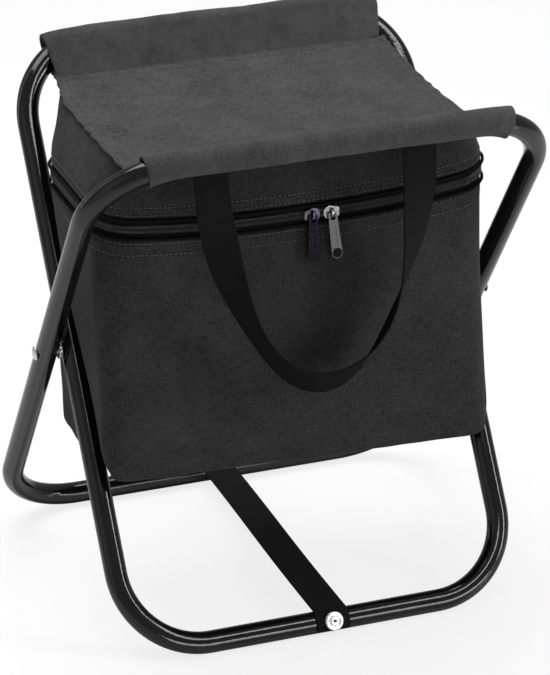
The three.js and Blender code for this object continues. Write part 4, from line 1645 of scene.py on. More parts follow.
@dataclass
class Seat:
    """The seat panel between the hems, with a turned and stitched edge on both sides."""

    plan: StoolPlan
    finishes: FinishSet
    fold_away: FoldAway
    rows: int = 92
    columns: int = 120
    side_seam: float = 5.0
    seam_stitch: float = 8.2
    seam_ridge: float = 4.6
    tucked: float = 0.9
    creases: float = 0.45
    crowding: float = 0.35
    corner: Place = (131.0, 100.0)

    def grid(self) -> Array:
        """The upper face, row by row from the front seam to the rear one."""
        plan = self.plan
        y = np.linspace(-1, 1, self.rows) * (plan.stitch_y + self.tucked)
        even = np.linspace(-1, 1, self.columns)
        share = self.crowding * np.sin(even * math.pi / 2) + (1 - self.crowding) * even
        y, share = np.meshgrid(y, share, indexing="ij")
        wave = 0.5 * np.sin(y / 3.4 + np.sin(y / 13.0) * 2.0) * np.abs(share) ** 12
        left, right = plan.seat_edges(y)
        x = left + (right - left) * (share + 1) / 2 + wave * np.sign(share)
        return self.on_cloth(x, y)

    def on_cloth(self, x: Array, y: Array) -> Array:
        """Places on the seat's upper face, folds and all."""
        points = np.stack([x, y, self.plan.seat_surface(x, y)], axis=-1)
        points[..., 2] += self.relief(points)
        return points

    def drag_lines(self, x: Array, y: Array) -> Array:
        """Folds that run out of the four corners."""
        drag = np.zeros_like(x)
        for side_x, side_y, strength in [(-1, -1, 1.0), (1, -1, 0.7), (-1, 1, 0.6), (1, 1, 0.8)]:
            dx, dy = x - side_x * self.corner[0], y - side_y * self.corner[1]
            angle = np.arctan2(np.abs(dy), np.abs(dx))
            fan = np.sin(angle * 15.0 + 0.6 * side_x)
            drag += strength * fan * bell(np.hypot(dx, dy), 26.0, 24.0)
        return drag

    def relief(self, points: Array) -> Array:
        """Height of the folds: drag lines towards the corners, the stitched edges and the seams.

        Args:
            points: The seat's places.

        Returns:
            Millimetres upwards.
        """
        x, y = points[..., 0], points[..., 1]
        left, right = self.plan.seat_edges(y)
        edge = np.maximum(np.minimum(x - left, right - x), 0)
        seam = self.plan.stitch_y - np.abs(y)
        waves = cloudy(points * [0.5, 1.0, 0.0], 38.0, 5.3) * 0.55
        groove = -0.4 * bell(edge, self.side_seam, 1.1)
        roll = 0.35 * smoothstep(edge, self.side_seam + 1.5, self.side_seam - 1.0)
        pucker = 0.22 * np.sin(y / 1.9 + np.sin(y / 7.0)) * bell(edge, self.side_seam, 4.0)
        gather = 0.3 * np.sin(x / 2.3 + 1.7 * np.sin(x / 9.0)) * bell(seam, 0.0, 5.0)
        rows = 0.55 * bell(seam, self.seam_ridge, 1.9) - 0.5 * bell(seam, self.seam_stitch, 1.3)
        dimple = 1.5 * ridge_at(x, y, (-121.0, 4.0), (-106.0, -18.0), 2.6)
        ridge = 1.3 * ridge_at(x, y, (-115.0, 7.0), (-100.0, -14.0), 3.0)
        folds = self.creases * (waves + 0.5 * self.drag_lines(x, y))
        return folds + groove + roll + pucker + gather + rows - dimple + ridge

    def seams(self) -> list[tuple[Array, Array]]:
        """The stitched rows along both edges and beside both hems, with their upward directions."""
        plan, lines = self.plan, []
        y = np.linspace(-1, 1, 140) * (plan.stitch_y - 3.0)
        left, right = plan.seat_edges(y)
        lines += [self.on_cloth(x, y) for x in (left + self.side_seam, right - self.side_seam)]
        for side in (-1, 1):
            y = side * (plan.stitch_y - self.seam_stitch)
            x = np.linspace(*(float(edge) for edge in plan.seat_edges(np.array(y))), 200)
            lines.append(self.on_cloth(x, np.full_like(x, y)))
        return [(line, np.tile([0.0, 0.0, 1.0], (len(line), 1))) for line in lines]

    def build(self, finish: Material) -> None:
        """Builds the panel and its stitching.

        Args:
            finish: The seat's cloth.
        """
        plan = self.plan
        panel = thickened(Skin(self.grid(), ring=False).build("seat_cloth"), plan.cloth)
        dressed(panel, finish, "seat_panel")
        thread = StitchRow().sew("seat_edge_stitching", self.seams())
        dressed(thread, self.finishes.seat_thread)
        flat_sheet((2 * plan.seat_half, 2 * plan.stitch_y))
        for piece in (panel, thread):
            self.fold_away.bend_seat(piece)


@dataclass
class SewnShell:
    """What the lid and the bag share: cloth with stitched rows, foam and foil behind it."""

    plan: StoolPlan
    finishes: FinishSet
    fold_away: FoldAway

    def seam_lines(self, rings: Array, rows: Sequence[float]) -> list[tuple[Array, Array]]:
        """Lines along the zip, some way from the first ring, with their outward directions.

        Args:
            rings: The cloth's points.
            rows: How far down the cloth each line runs.

        Returns:
            The lines.
        """
        steps = np.linalg.norm(np.diff(rings[:40], axis=0), axis=2).mean(axis=1)
        heights = np.concatenate([[0.0], np.cumsum(steps)])
        first, last = self.plan.zipped(rings.shape[1])
        outs, lines = level_normals(rings), []
        for row in rows:
            level = np.interp(row, heights, np.arange(len(heights)))
            low, share = int(level), level - int(level)
            line = rings[low] * (1 - share) + rings[low + 1] * share
            lines.append((line[first:last], outs[low][first:last]))
        return lines

    def build_thread(self, name: str, rings: Array, rows: Sequence[float]) -> Object:
        """The stitching of the seam beside the zip."""
        thread = StitchRow().sew(name, self.seam_lines(rings, rows))
        return dressed(thread, self.finishes.thread)

    def build_foam(self, piece: Object, node: str, body: str) -> None:
        """Gives a piece the foam finish, hides its CAD node and sets it on a body."""
        dressed(piece, self.finishes.foam, node)
        self.fold_away.flatten(piece, body)

    def build_foil(
        self, piece: Object, node: str, body: str, size: Place, held: str, on: str
    ) -> None:
        """Gives a piece the foil finish, hides its CAD node and sets it on a body.

        Args:
            piece: The foil.
            node: The CAD node it stands for.
            body: The body it rides on.
            size: Its flat sides in millimetres.
            held: Not used.
            on: Not used.
        """
        dressed(piece, self.finishes.foil, node)
        flat_sheet(size)
        self.fold_away.flatten(piece, body)


@dataclass
class Lid(SewnShell):
    """The lid: a skirt of cloth under the seat, with a padded panel and its foil inside."""

    levels: int = 34
    seam_rows: Place = (1.6, 6.6)
    pad: float = 5.0
    lining: float = 0.6
    pad_gap: float = 2.0
    layer_gap: float = 0.3
    flat_height: float = 52.0
    gathered_in: float = 40.0

    def relief(self, rings: Array, share: Array) -> Array:
        """How far the skirt stands out: gathers under the seat, slack between, drawn in at the zip.

        Args:
            rings: The skirt's points.
            share: 0 under the seat to 1 at the zip, for each row.

        Returns:
            Millimetres outwards.
        """
        run, down = distances(rings[0]), share[:, None]
        gather = np.sin(run / 2.6 + 2.0 * np.sin(run / 17.0))[None] * bell(down, 0.0, 0.14)
        slack = cloudy(rings * [1.0, 1.0, 0.45], 30.0, 11.3)
        corner = np.abs(np.abs(rings[..., 0]) - 128.0) < 40.0
        soft = cloudy(rings * [1.0, 1.0, 1.6], 17.0, 2.9) * smoothstep(down, 0.25, 0.7) * corner
        return 0.3 * gather + (0.9 * slack + 0.35 * soft) * np.sin(down * math.pi)

    def skirt(self) -> Array:
        """The skirt's outer face, row by row from the zip up to the seat."""
        share = np.linspace(1, 0, self.levels)
        rings = np.array([self.plan.lid_ring(part, 0.0) for part in share])
        return rings + level_normals(rings) * self.relief(rings, share)[..., None]

    def panel(self, top: float, thickness: float, rings: int = 10) -> Array:
        """A flat panel inside the skirt, as rings from its middle over its edge and back.

        Args:
            top: Its height.
            thickness: Its thickness.
            rings: Steps from the middle to the edge.

        Returns:
            The rings.
        """
        plan = self.plan
        half, front, _, corner, rear_corner = plan.lid_plan(0.0)
        rear = plan.lid_rear - plan.lid_panel_room
        place, out = plan.outline(half, front, rear, corner, rear_corner)
        push = plan.leg_dent(place[:, 0], place[:, 1], top)
        edge = place - self.pad_gap * out
        edge[:, 0] -= np.sign(place[:, 0]) * push
        shares, rows = np.linspace(0.02, 1.0, rings), []
        for height, steps in ((top, shares), (top - thickness, shares[::-1])):
            level = np.full(len(edge), height)
            rows += [np.column_stack([edge * share, level]) for share in steps]
        return np.array(rows)

    def build(self, finish: Material, sewn_on: list[Object]) -> None:
        """Builds the skirt, its stitching, the pad and its foil.

        Args:
            finish: The skirt's cloth.
            sewn_on: Not used.
        """
        plan, body = self.plan, "outer_frame"
        rings = self.skirt()
        skirt = dressed(sheet_of("lid_cloth", rings, plan.cloth), finish, "lid_skirt")
        thread = self.build_thread("lid_stitching", rings, self.seam_rows)
        size = (plan.girth - self.gathered_in, self.flat_height)
        flat_sheet(size)
        for piece in (skirt, thread):
            self.fold_away.flatten(piece, body)
        pad = capped("lid_padding", self.panel(plan.lid_top, self.pad))
        self.build_foam(pad, "lid_insulation", body)
        foil_top = plan.lid_top - self.pad - self.layer_gap
        foil = capped("lid_foil", self.panel(foil_top, self.lining))
        size = (2 * plan.lid_half, plan.lid_front + plan.lid_rear)
        self.build_foil(foil, "lid_lining", body, size, "laid", "lid_padding")


@dataclass
class Bag(SewnShell):
    """The bag under the zip: outer cloth, foam walls and foil lining, open at the top."""

    fold_radius: float = 7.0
    levels: int = 74
    foam_levels: int = 30
    foil_levels: int = 40
    fold_steps: int = 6
    floor_rings: int = 16
    pad: float = 4.0
    lining: float = 0.6
    layer_gap: float = 0.8
    seam_rows: Place = (2.6, 11.4)
    floor_seam: float = 127.0
    creases: tuple[tuple[Place, Place, float, float], ...] = (
        ((-128.0, 128.5), (-20.0, 131.0), 2.4, 0.8),
        ((-22.0, 130.0), (-4.0, 138.0), 2.6, 1.1),
        ((-4.0, 138.0), (18.0, 163.0), 4.5, 0.7),
        ((-60.0, 186.0), (-15.0, 150.0), 7.0, -0.6),
        ((36.0, 176.0), (48.0, 132.0), 7.0, -0.6),
        ((96.0, 280.0), (120.0, 232.0), 8.0, 0.7),
        ((-128.0, 288.0), (-104.0, 246.0), 6.0, 0.6),
    )

    def tub(self, inset: float, levels: int, top_drop: float = 0.0) -> Array:
        """Rings of an open tub from its rim down the wall, round the fold and over the floor.

        Args:
            inset: How far it lies inside the bag's outline.
            levels: Rings on the wall.
            top_drop: How far its rim lies under the bag's.

        Returns:
            The rings.
        """
        plan, fold = self.plan, self.fold_radius
        floor = plan.bag_floor + inset
        z = np.linspace(plan.bag_top - top_drop, floor + fold, levels)
        rings = [plan.bag_ring(level, inset) for level in z]
        for turn in np.linspace(0, math.pi / 2, self.fold_steps + 1)[1:]:
            up, turned_in = fold * (1 - math.sin(turn)), fold * (1 - math.cos(turn))
            rings.append(plan.bag_ring(floor + up, inset, turned_in))
        edge, centre = rings[-1], rings[-1].mean(axis=0)
        shares = np.maximum(np.linspace(1, 0, self.floor_rings)[1:], 0.012)
        return np.array([*rings, *(centre + (edge - centre) * share for share in shares)])

    def relief(self, rings: Array) -> Array:
        """How far the cloth stands out of its plain form.

        Args:
            rings: The tub's points.

        Returns:
            Millimetres outwards.
        """
        x, y, z = rings[..., 0], rings[..., 1], rings[..., 2]
        plan = self.plan
        down = np.clip((plan.bag_top - z) / plan.bag_height, 0, 1)
        depth = down * plan.bag_height
        slack = cloudy(rings * [1.0, 1.0, 0.55], 62.0, 4.4) * np.sin(down * math.pi) ** 0.8
        small = cloudy(rings * [1.0, 1.0, 0.8], 21.0, 9.1) * smoothstep(down, 0.45, 0.95)
        folds = sum(ridge_at(x, z, *place, width) * up for *place, width, up in self.creases)
        lower = -0.45 * bell(z, self.floor_seam, 1.8)
        rows = -0.3 * sum(bell(depth, row, 1.6) for row in self.seam_rows)
        between = np.sin(np.clip(depth / 12.0, 0, 1) * math.pi) * 0.35
        front = smoothstep(-y, 40.0, 62.0) * (folds + lower)
        return 1.7 * slack + 0.75 * small + front + rows + between

    def shell(self) -> Array:
        """The outer cloth with its folds, which fade out over the floor."""
        rings = self.tub(0.0, self.levels)
        amount = self.relief(rings)
        amount[self.levels :] *= np.linspace(1, 0, len(rings) - self.levels)[:, None]
        return rings + level_normals(rings) * amount[..., None]

    def build(self, finish: Material, sewn_on: list[Object]) -> None:
        """Builds the cloth, its stitching, the foam and the foil.

        Args:
            finish: The bag's cloth.
            sewn_on: Not used.
        """
        plan, steps = self.plan, self.fold_steps
        rings = self.shell()
        shell = sheet_of("bag_cloth", rings, plan.cloth, self.levels + steps)
        dressed(shell, finish, "bag_shell")
        thread = self.build_thread("bag_stitching", rings, self.seam_rows)
        girth = plan.girth - 20.0
        height = plan.bag_height + (plan.bag_front + plan.bag_rear) / 3
        flat_sheet((girth, height))
        for piece in (shell, thread):
            self.fold_away.flatten(piece, "bag")
        inset = plan.cloth + self.layer_gap
        foam = self.tub(inset, self.foam_levels, 0.4)
        foam = sheet_of("bag_padding", foam, self.pad, self.foam_levels + steps)
        self.build_foam(foam, "bag_insulation", "bag")
        foil = self.tub(inset + self.pad + self.layer_gap, self.foil_levels, 0.2)
        swell = 0.35 + 0.35 * cloudy(foil, 24.0, 6.6)[..., None]
        foil = foil - level_normals(foil) * swell
        foil = sheet_of("bag_foil", foil, self.lining, self.foil_levels + steps)
        self.build_foil(foil, "bag_lining", "bag", (girth - 50.0, height), "hung", "bag_padding")


@dataclass
class Zip:
    """The zip round the front and sides: tapes, bound seams and coils, and the strip behind."""

    plan: StoolPlan
    finishes: FinishSet
    fold_away: FoldAway
    tape: float = 1.0
    binding: float = 2.4
    coil_height: float = 2.6
    coil_depth: float = 2.4
    coil_gap: float = 1.6
    coil_overlap: float = 0.25
    pitch: float = 1.5
    per_turn: int = 10
    wire: float = 0.52
    clearance: float = 0.3

    def dense(self, count: int) -> tuple[Array, Array]:
        """The zip line at evenly spaced places.

        Args:
            count: How many.

        Returns:
            The places and their outward directions.
        """
        points, outs = self.plan.zip_line()
        run = distances(points)
        at = np.linspace(0, run[-1], count)
        return read_along(at, run, points), unit(read_along(at, run, outs))

    def band(self, low: float, high: float, rear: bool = False) -> Array:
        """Sections of a flat tape along the zip line, with eased edges.

        Args:
            low: Its lower edge, counted from the coils' line.
            high: Its upper edge.
            rear: Whether it runs behind, along the hinge.

        Returns:
            The sections.
        """
        points, outs = self.plan.zip_line(rear)
        thick, ease = self.tape, self.tape * 0.3
        heights = np.linspace(low + ease, high - ease, 6)
        face = [(low, -ease), *((z, 0.0) for z in heights), (high, -ease)]
        back = [(high, ease - thick), *((z, -thick) for z in heights[::-1]), (low, ease - thick)]
        section = np.array([*face, *back])
        up = section[:, :1] * np.array([0, 0, 1])
        return points[:, None] + outs[:, None] * section[:, 1:] + up

    def coil(self, way: int) -> Array:
        """Sections of wire wound in a coil along the zip line.

        Args:
            way: 1 for the upper coil, -1 for the lower one.

        Returns:
            The sections.
        """
        turns = int(distances(self.plan.zip_line()[0])[-1] / self.pitch)
        line, out = self.dense(turns * self.per_turn + 1)
        start = math.pi if way > 0 else 0.0
        phase = np.arange(len(line)) * (2 * math.pi / self.per_turn) + start
        radius = self.wire / 2
        reach, low = self.coil_gap / 2 + self.coil_height, -self.coil_overlap
        height = way * ((reach + low) / 2 + ((reach - low) / 2 - radius) * np.cos(phase))
        away = (self.coil_depth / 2 - radius) * np.sin(phase)
        away = away * np.where(np.sin(phase) > 0, 1.0, 0.8)
        route = line + out * away[:, None] + np.array([0, 0, 1.0]) * height[:, None]
        ahead = unit(np.gradient(route, axis=0))
        side = unit(np.cross(ahead, np.roll(out, 1, axis=0)))
        spin = full_turn(6)[None, :, None]
        ring = side[:, None] * np.cos(spin) + np.cross(side, ahead)[:, None] * np.sin(spin)
        return route[:, None] + ring * radius

    def cord(self, height: float, offset: float) -> Array:
        """Sections of a bound seam along the zip line.

        Args:
            height: How far it lies over the coils' line.
            offset: How far its middle stands outside the line.

        Returns:
            The sections.
        """
        points, outs = self.dense(420)
        spin, upward = full_turn(14)[None, :, None], np.array([0.0, 0, 1])
        radius = self.binding / 2 * (1 + 0.05 * np.sin(np.arange(len(points)) * 0.9))
        ring = np.cos(spin) * outs[:, None] + np.sin(spin) * upward
        middle = points[:, None] + outs[:, None] * offset + upward * height
        return middle + ring * radius[:, None, None]

    def build(self) -> list[list[Object]]:
        """Builds both sides of the zip and the hinge strip.

        Returns:
            The pieces sewn to the lid, and those sewn to the bag.
        """
        finishes, room = self.finishes, self.clearance
        half, radius = self.plan.zip_height / 2, self.binding / 2
        inner = self.coil_gap / 2 + self.coil_height + room
        sides = []
        ways = (("above", "upper", 1, "outer_frame"), ("below", "lower", -1, "bag"))
        for word, node, way, body in ways:
            tape = self.band(*sorted((way * inner, way * (half - room))))
            cord = self.cord(way * (half - radius - room), radius + room)
            forms = {
                "tape": (tape, finishes.tape),
                "binding": (cord, finishes.tape),
                "coil": (self.coil(way), finishes.coil),
            }
            side = []
            for kind, (sections, finish) in forms.items():
                piece = capped(f"zip_{kind}_{word}", sections)
                side.append(dressed(piece, finish, f"zip_{kind}_{node}"))
            for piece in side:
                self.fold_away.flatten(piece, body)
            sides.append(side)
        strip = capped("hinge_strip", self.band(room - half, half - room, rear=True))
        dressed(strip, finishes.tape, "lid_hinge_strip")
        length = float(distances(self.plan.zip_line(rear=True)[0])[-1])
        flat_sheet((self.plan.zip_height, length))
        self.fold_away.flatten(strip, "outer_frame")
        return sides


def plate(name: str, outlines: Sequence[Sequence[Place]], back: float, front: float) -> Object:
    """A flat plate with holes, drawn in the plane of the zip.

    Args:
        name: The piece's name.
        outlines: The plate's outline, then its holes, as pairs of x and z.
        back: Depth of its back, towards the front of the stool.
        front: Depth of its face.

    Returns:
        The plate as a mesh at the origin.
    """
    line = bpy.data.curves.new(name, "CURVE")
    line.dimensions = "2D"
    line.fill_mode = "BOTH"
    line.extrude = (front - back) / 2 * MM
    for outline in outlines:
        spline = line.splines.new("POLY")
        spline.points.add(len(outline) - 1)
        for point, (x, z) in zip(spline.points, outline):
            point.co = (x * MM, z * MM, 0, 1)
        spline.use_cyclic_u = True
    holder = linked(name, line)
    mesh = evaluated(holder)
    bpy.data.objects.remove(holder)
    depth = -(front + back) / 2 * MM
    mesh.transform(Matrix(((1, 0, 0, 0), (0, 0, -1, depth), (0, 1, 0, 0), (0, 0, 0, 1))))
    with worked(mesh) as form:
        bmesh.ops.remove_doubles(form, verts=form.verts, dist=1e-6)
        bmesh.ops.dissolve_limit(form, angle_limit=0.01, verts=form.verts, edges=form.edges)
        bmesh.ops.recalc_face_normals(form, faces=form.faces)
    mesh.shade_smooth()
    mesh.name = name
    return linked(name, mesh)


def arc(
    x: float, z: float, radius: float, start: float, end: float, steps: int = 16
) -> list[Place]:
    """Points of a round bend in the plane of the zip, angles in degrees."""
    turn = np.radians(np.linspace(start, end, steps))
    return [(x + radius * math.cos(t), z + radius * math.sin(t)) for t in turn]


def merged(name: str, pieces: Sequence[Object]) -> Object:
    """Puts several meshes, with their modifiers applied, into one object.

    Args:
        name: The new piece's name.
        pieces: The pieces, which are removed.

    Returns:
        The new piece.
    """
    form = bmesh.new()
    for piece in pieces:
        mesh = evaluated(piece)
        form.from_mesh(mesh)
        bpy.data.meshes.remove(mesh)
        bpy.data.objects.remove(piece)
    mesh = bpy.data.meshes.new(name)
    form.to_mesh(mesh)
    form.free()
    return linked(name, mesh)


@dataclass
class ZipSlider:
    """One slider with the pull that hangs from its bail."""

    plan: StoolPlan
    fold_away: FoldAway
    word: str
    side: int
    sway: float
    body_finish: Material
    pull_finish: Material
    recess_shade_finish: Material
    slot: str
    middle: float = 17.0
    spacing: float = 14.2
    length: float = 12.0
    nose: float = 10.4
    tail: float = 6.6
    tail_ease: float = 0.8
    thickness: float = 1.1
    divider_length: float = 4.5
    divider_half: float = 0.45
    bail_window: float = 5.4
    bail_rise: float = 2.5
    bail_strip: float = 1.0
    bail_width: float = 1.9
    pull_length: float = 34.0
    pull_width: float = 8.0
    pull_neck: float = 6.4
    pull_thickness: float = 1.3
    neck_bend: float = 1.3
    eye_half: float = 1.7
    eye_length: float = 4.4
    eye_bend: float = 0.7
    panel_half: float = 1.15
    recess_rim: float = 0.45
    recess_depth: float = 0.42
    # Thickness of the near-black disc that paints the recess's shade.
    shade_disc: float = 0.16
    lean: float = 7.0
    pin_depth: float = 3.85
    face_depth: float = 2.6

    def place(self) -> Vector:
        """The slider's middle on the zip line, in millimetres."""
        x, y = self.middle + self.side * self.spacing / 2, -self.plan.bag_front
        level = self.plan.zip_middle
        return Vector((x, y, level - float(self.plan.sag(*(np.array(v) for v in (x, y, level))))))

    def plate_outline(self) -> list[Place]:
        """Round nose towards the other slider, straight taper to the tail."""
        half, nose, ease, wide = self.length / 2, self.nose / 2, self.tail_ease, self.tail / 2
        front = arc(half - nose, 0, nose, -90, 90, 22)
        taper, side = ease - half, wide - ease
        tail = [(taper, wide), (-half, side), (-half, -side), (taper, -wide)]
        return [(-self.side * x, z) for x, z in [*front, *tail]]

    def build_slider(self) -> Object:
        """The slider's body: two plates, divider, lips and the arched bail."""
        way, thick, face = -self.side, self.thickness, self.face_depth
        outline, nose = self.plate_outline(), self.nose / 2
        back = plate("back_plate", [outline], -face, thick - face)
        front = plate("front_plate", [outline], face - thick, face)
        crown = [(way * (x * 0.8), z * 0.62) for x, z in arc(0.0, 0.0, nose, 0, 360, 30)[:-1]]
        boss = plate("boss", [crown], face - 0.2, face + 0.35)
        reach = self.length / 2 - nose
        near, far, wide = way * reach, way * (reach + self.divider_length), self.divider_half
        wedge = [(near, -wide), (far, -wide), (far, wide), (near, wide)]
        parts = [back, front, boss, plate("divider", [wedge], thick / 2 - face, face - thick / 2)]
        for up in (-1, 1):
            edge, inside = up * self.tail / 2, up * (self.tail / 2 - 1.0)
            lip = [(-reach, edge), (reach, edge), (reach, inside), (-reach, inside)]
            parts.append(plate(f"lip{up}", [lip], face - thick - 1.1, face - thick / 2))
        for part in parts:
            eased(part, 0.32 if part in (back, front) else 0.2)
        body = merged(f"slider_body_{self.word}", [*parts, self.bail()])
        body.data.transform(Matrix.Translation(self.place() * MM))
        return body

    def bail(self) -> Object:
        """The bent strip that holds the pull, with a keyhole of daylight under it."""
        half, foot = (self.bail_window + self.bail_strip) / 2, 0.4
        rise = self.bail_rise + self.bail_strip / 2 + foot
        turn = np.linspace(0, math.pi, 17)
        depth = self.face_depth - foot + rise * np.sin(turn).clip(0) ** 0.55
        route = np.column_stack([np.zeros(17), -depth, -np.cos(turn) * half])
        section = strap_section(self.bail_width, self.bail_strip, 6)
        return capped("bail", swept(route, np.tile([1.0, 0.0, 0.0], (17, 1)), section))

    def pull_outlines(self) -> tuple[list[list[Place]], list[list[Place]]]:
        """The pull's outline and eye, then the recess and the pressed panel on its face."""
        rim, neck, half = self.pull_thickness / 2, self.pull_neck / 2, self.pull_width / 2
        low, bend, turn = rim - self.pull_length, self.neck_bend, self.eye_bend
        outline = [
            *arc(bend - neck, rim - bend, bend, 90, 180, 7),
            *arc(0.0, low + half, half, 180, 360, 34),
            *arc(neck - bend, rim - bend, bend, 0, 90, 7),
        ]
        across, top, bottom = self.eye_half - turn, -rim - turn, turn - rim - self.eye_length
        corners = [(across, top, 90), (across, bottom, 0)]
        corners += [(-across, bottom, -90), (-across, top, 180)]
        eye = [place for x, z, a in corners for place in arc(x, z, turn, a, a - 90, 5)]
        panel_top, panel_low = -rim - self.eye_length - 3.6, low + self.pull_width + 2.6
        panel = [
            *arc(0.0, panel_top, self.panel_half, 180, 0, 9),
            *arc(0.0, panel_low, self.panel_half, 0, -180, 9),
        ]
        recess = arc(0.0, low + half, half - self.recess_rim, 0, 360, 40)[:-1]
        return [outline, eye], [recess, panel]

    def build_pull(self) -> tuple[Object, Object]:
        """The pull, a tab with an eye at its neck, and a near-black disc in its round recess that
        paints the recess's shade.
        """
        rim, middle = self.pull_thickness / 2, self.pull_thickness / 2 - self.pull_length
        middle += self.pull_width / 2
        whole, pressed = self.pull_outlines()
        step = rim - self.recess_depth
        back = eased(plate("pull_back", whole, -rim, step + 0.05), 0.2, 2)
        front = eased(plate("pull_front", [*whole, *pressed], step, rim), 0.14, 2)
        pull = merged(f"pull_tab_{self.word}", [back, front])
        disc = [(x * 0.99, (z - middle) * 0.99 + middle) for x, z in pressed[0]]
        shade_disc = plate(f"pull_enamel_{self.word}", [disc], step, step + self.shade_disc)
        eased(shade_disc, 0.07, 2)
        lean = Matrix.Rotation(math.radians(-self.lean), 4, "X")
        turn = Matrix.Rotation(math.radians(-self.sway), 4, "Y") @ lean
        pin = Matrix.Translation((self.place() + Vector((0, -self.pin_depth, 0))) * MM)
        for part in (pull, shade_disc):
            part.data.transform(pin @ turn)
        return pull, shade_disc

    def build(self) -> None:
        """Builds slider and pull, each on its own body."""
        body = dressed(self.build_slider(), self.body_finish)
        self.fold_away.flatten(body, f"slider_{self.word}")
        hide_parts(f"zip_slider_{self.word}")
        pull, shade_disc = self.build_pull()
        dressed(pull, self.pull_finish)
        # Painted shade: the near-black disc stands in for the dark of the recess.
        dressed(shade_disc, self.recess_shade_finish)
        for part in (pull, shade_disc):
            self.fold_away.flatten(part, f"pull_{self.word}")
        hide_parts(f"zip_pull_{self.word}")


@dataclass
class CarryHandle:
    """A loop of webbing that hangs from the seam of the front hem."""

    plan: StoolPlan
    finishes: FinishSet
    width: float = 25.0
    thickness: float = 1.6
    half_span: float = 76.0
    drop: float = 171.0
    sway: float = 10.0
    bottom_turn: float = 32.0
    side_turn: float = 175.0
    lead: float = 6.0
    curve: float = 1.95
    steps: int = 150
    stations: int = 190

    def route(self) -> tuple[Array, Array]:
        """The strap's middle line and the direction across it."""
        plan = self.plan
        y = -plan.stitch_y - self.thickness / 2
        top = plan.stitch_z - plan.cloth * 1.5 - 0.3
        swing = math.pi * (1 - np.arange(self.steps + 1) / self.steps)
        depth = np.abs(np.sin(swing)) ** (2 / self.curve)
        span = np.sign(np.cos(swing)) * np.abs(np.cos(swing)) ** (2 / self.curve)
        x = self.half_span * span + self.sway * depth
        z = top - self.lead - (self.drop - self.lead) * depth
        hung = np.column_stack([x, np.full_like(x, y), z])
        route = np.vstack([[-self.half_span, y, top], hung, [self.half_span, y, top]])
        up_share = np.concatenate([[1.0], np.cos(swing) ** 2, [1.0]])
        ahead = unit(np.gradient(route, axis=0))
        level = np.column_stack([-ahead[:, 2], np.zeros(len(ahead)), ahead[:, 0]])
        turn = self.bottom_turn + self.side_turn * up_share
        turn = np.radians(turn - (self.bottom_turn + self.side_turn) * up_share**2)
        turns = [Matrix.Rotation(t, 3, Vector(a)) for t, a in zip(turn, ahead)]
        return route, np.array([turned @ Vector(l) for turned, l in zip(turns, level)])

    def build(self) -> None:
        """Builds the strap."""
        route, across = self.route()
        run = distances(route)
        at = np.linspace(0, 1, self.stations) * run[-1]
        route, across = read_along(at, run, route), read_along(at, run, across)
        strap = webbing("carry_handle", route, across, self.width, self.thickness)
        dressed(strap, self.finishes.handle, "front_handle", "handle")
        flat_sheet((self.width, float(run[-1])))


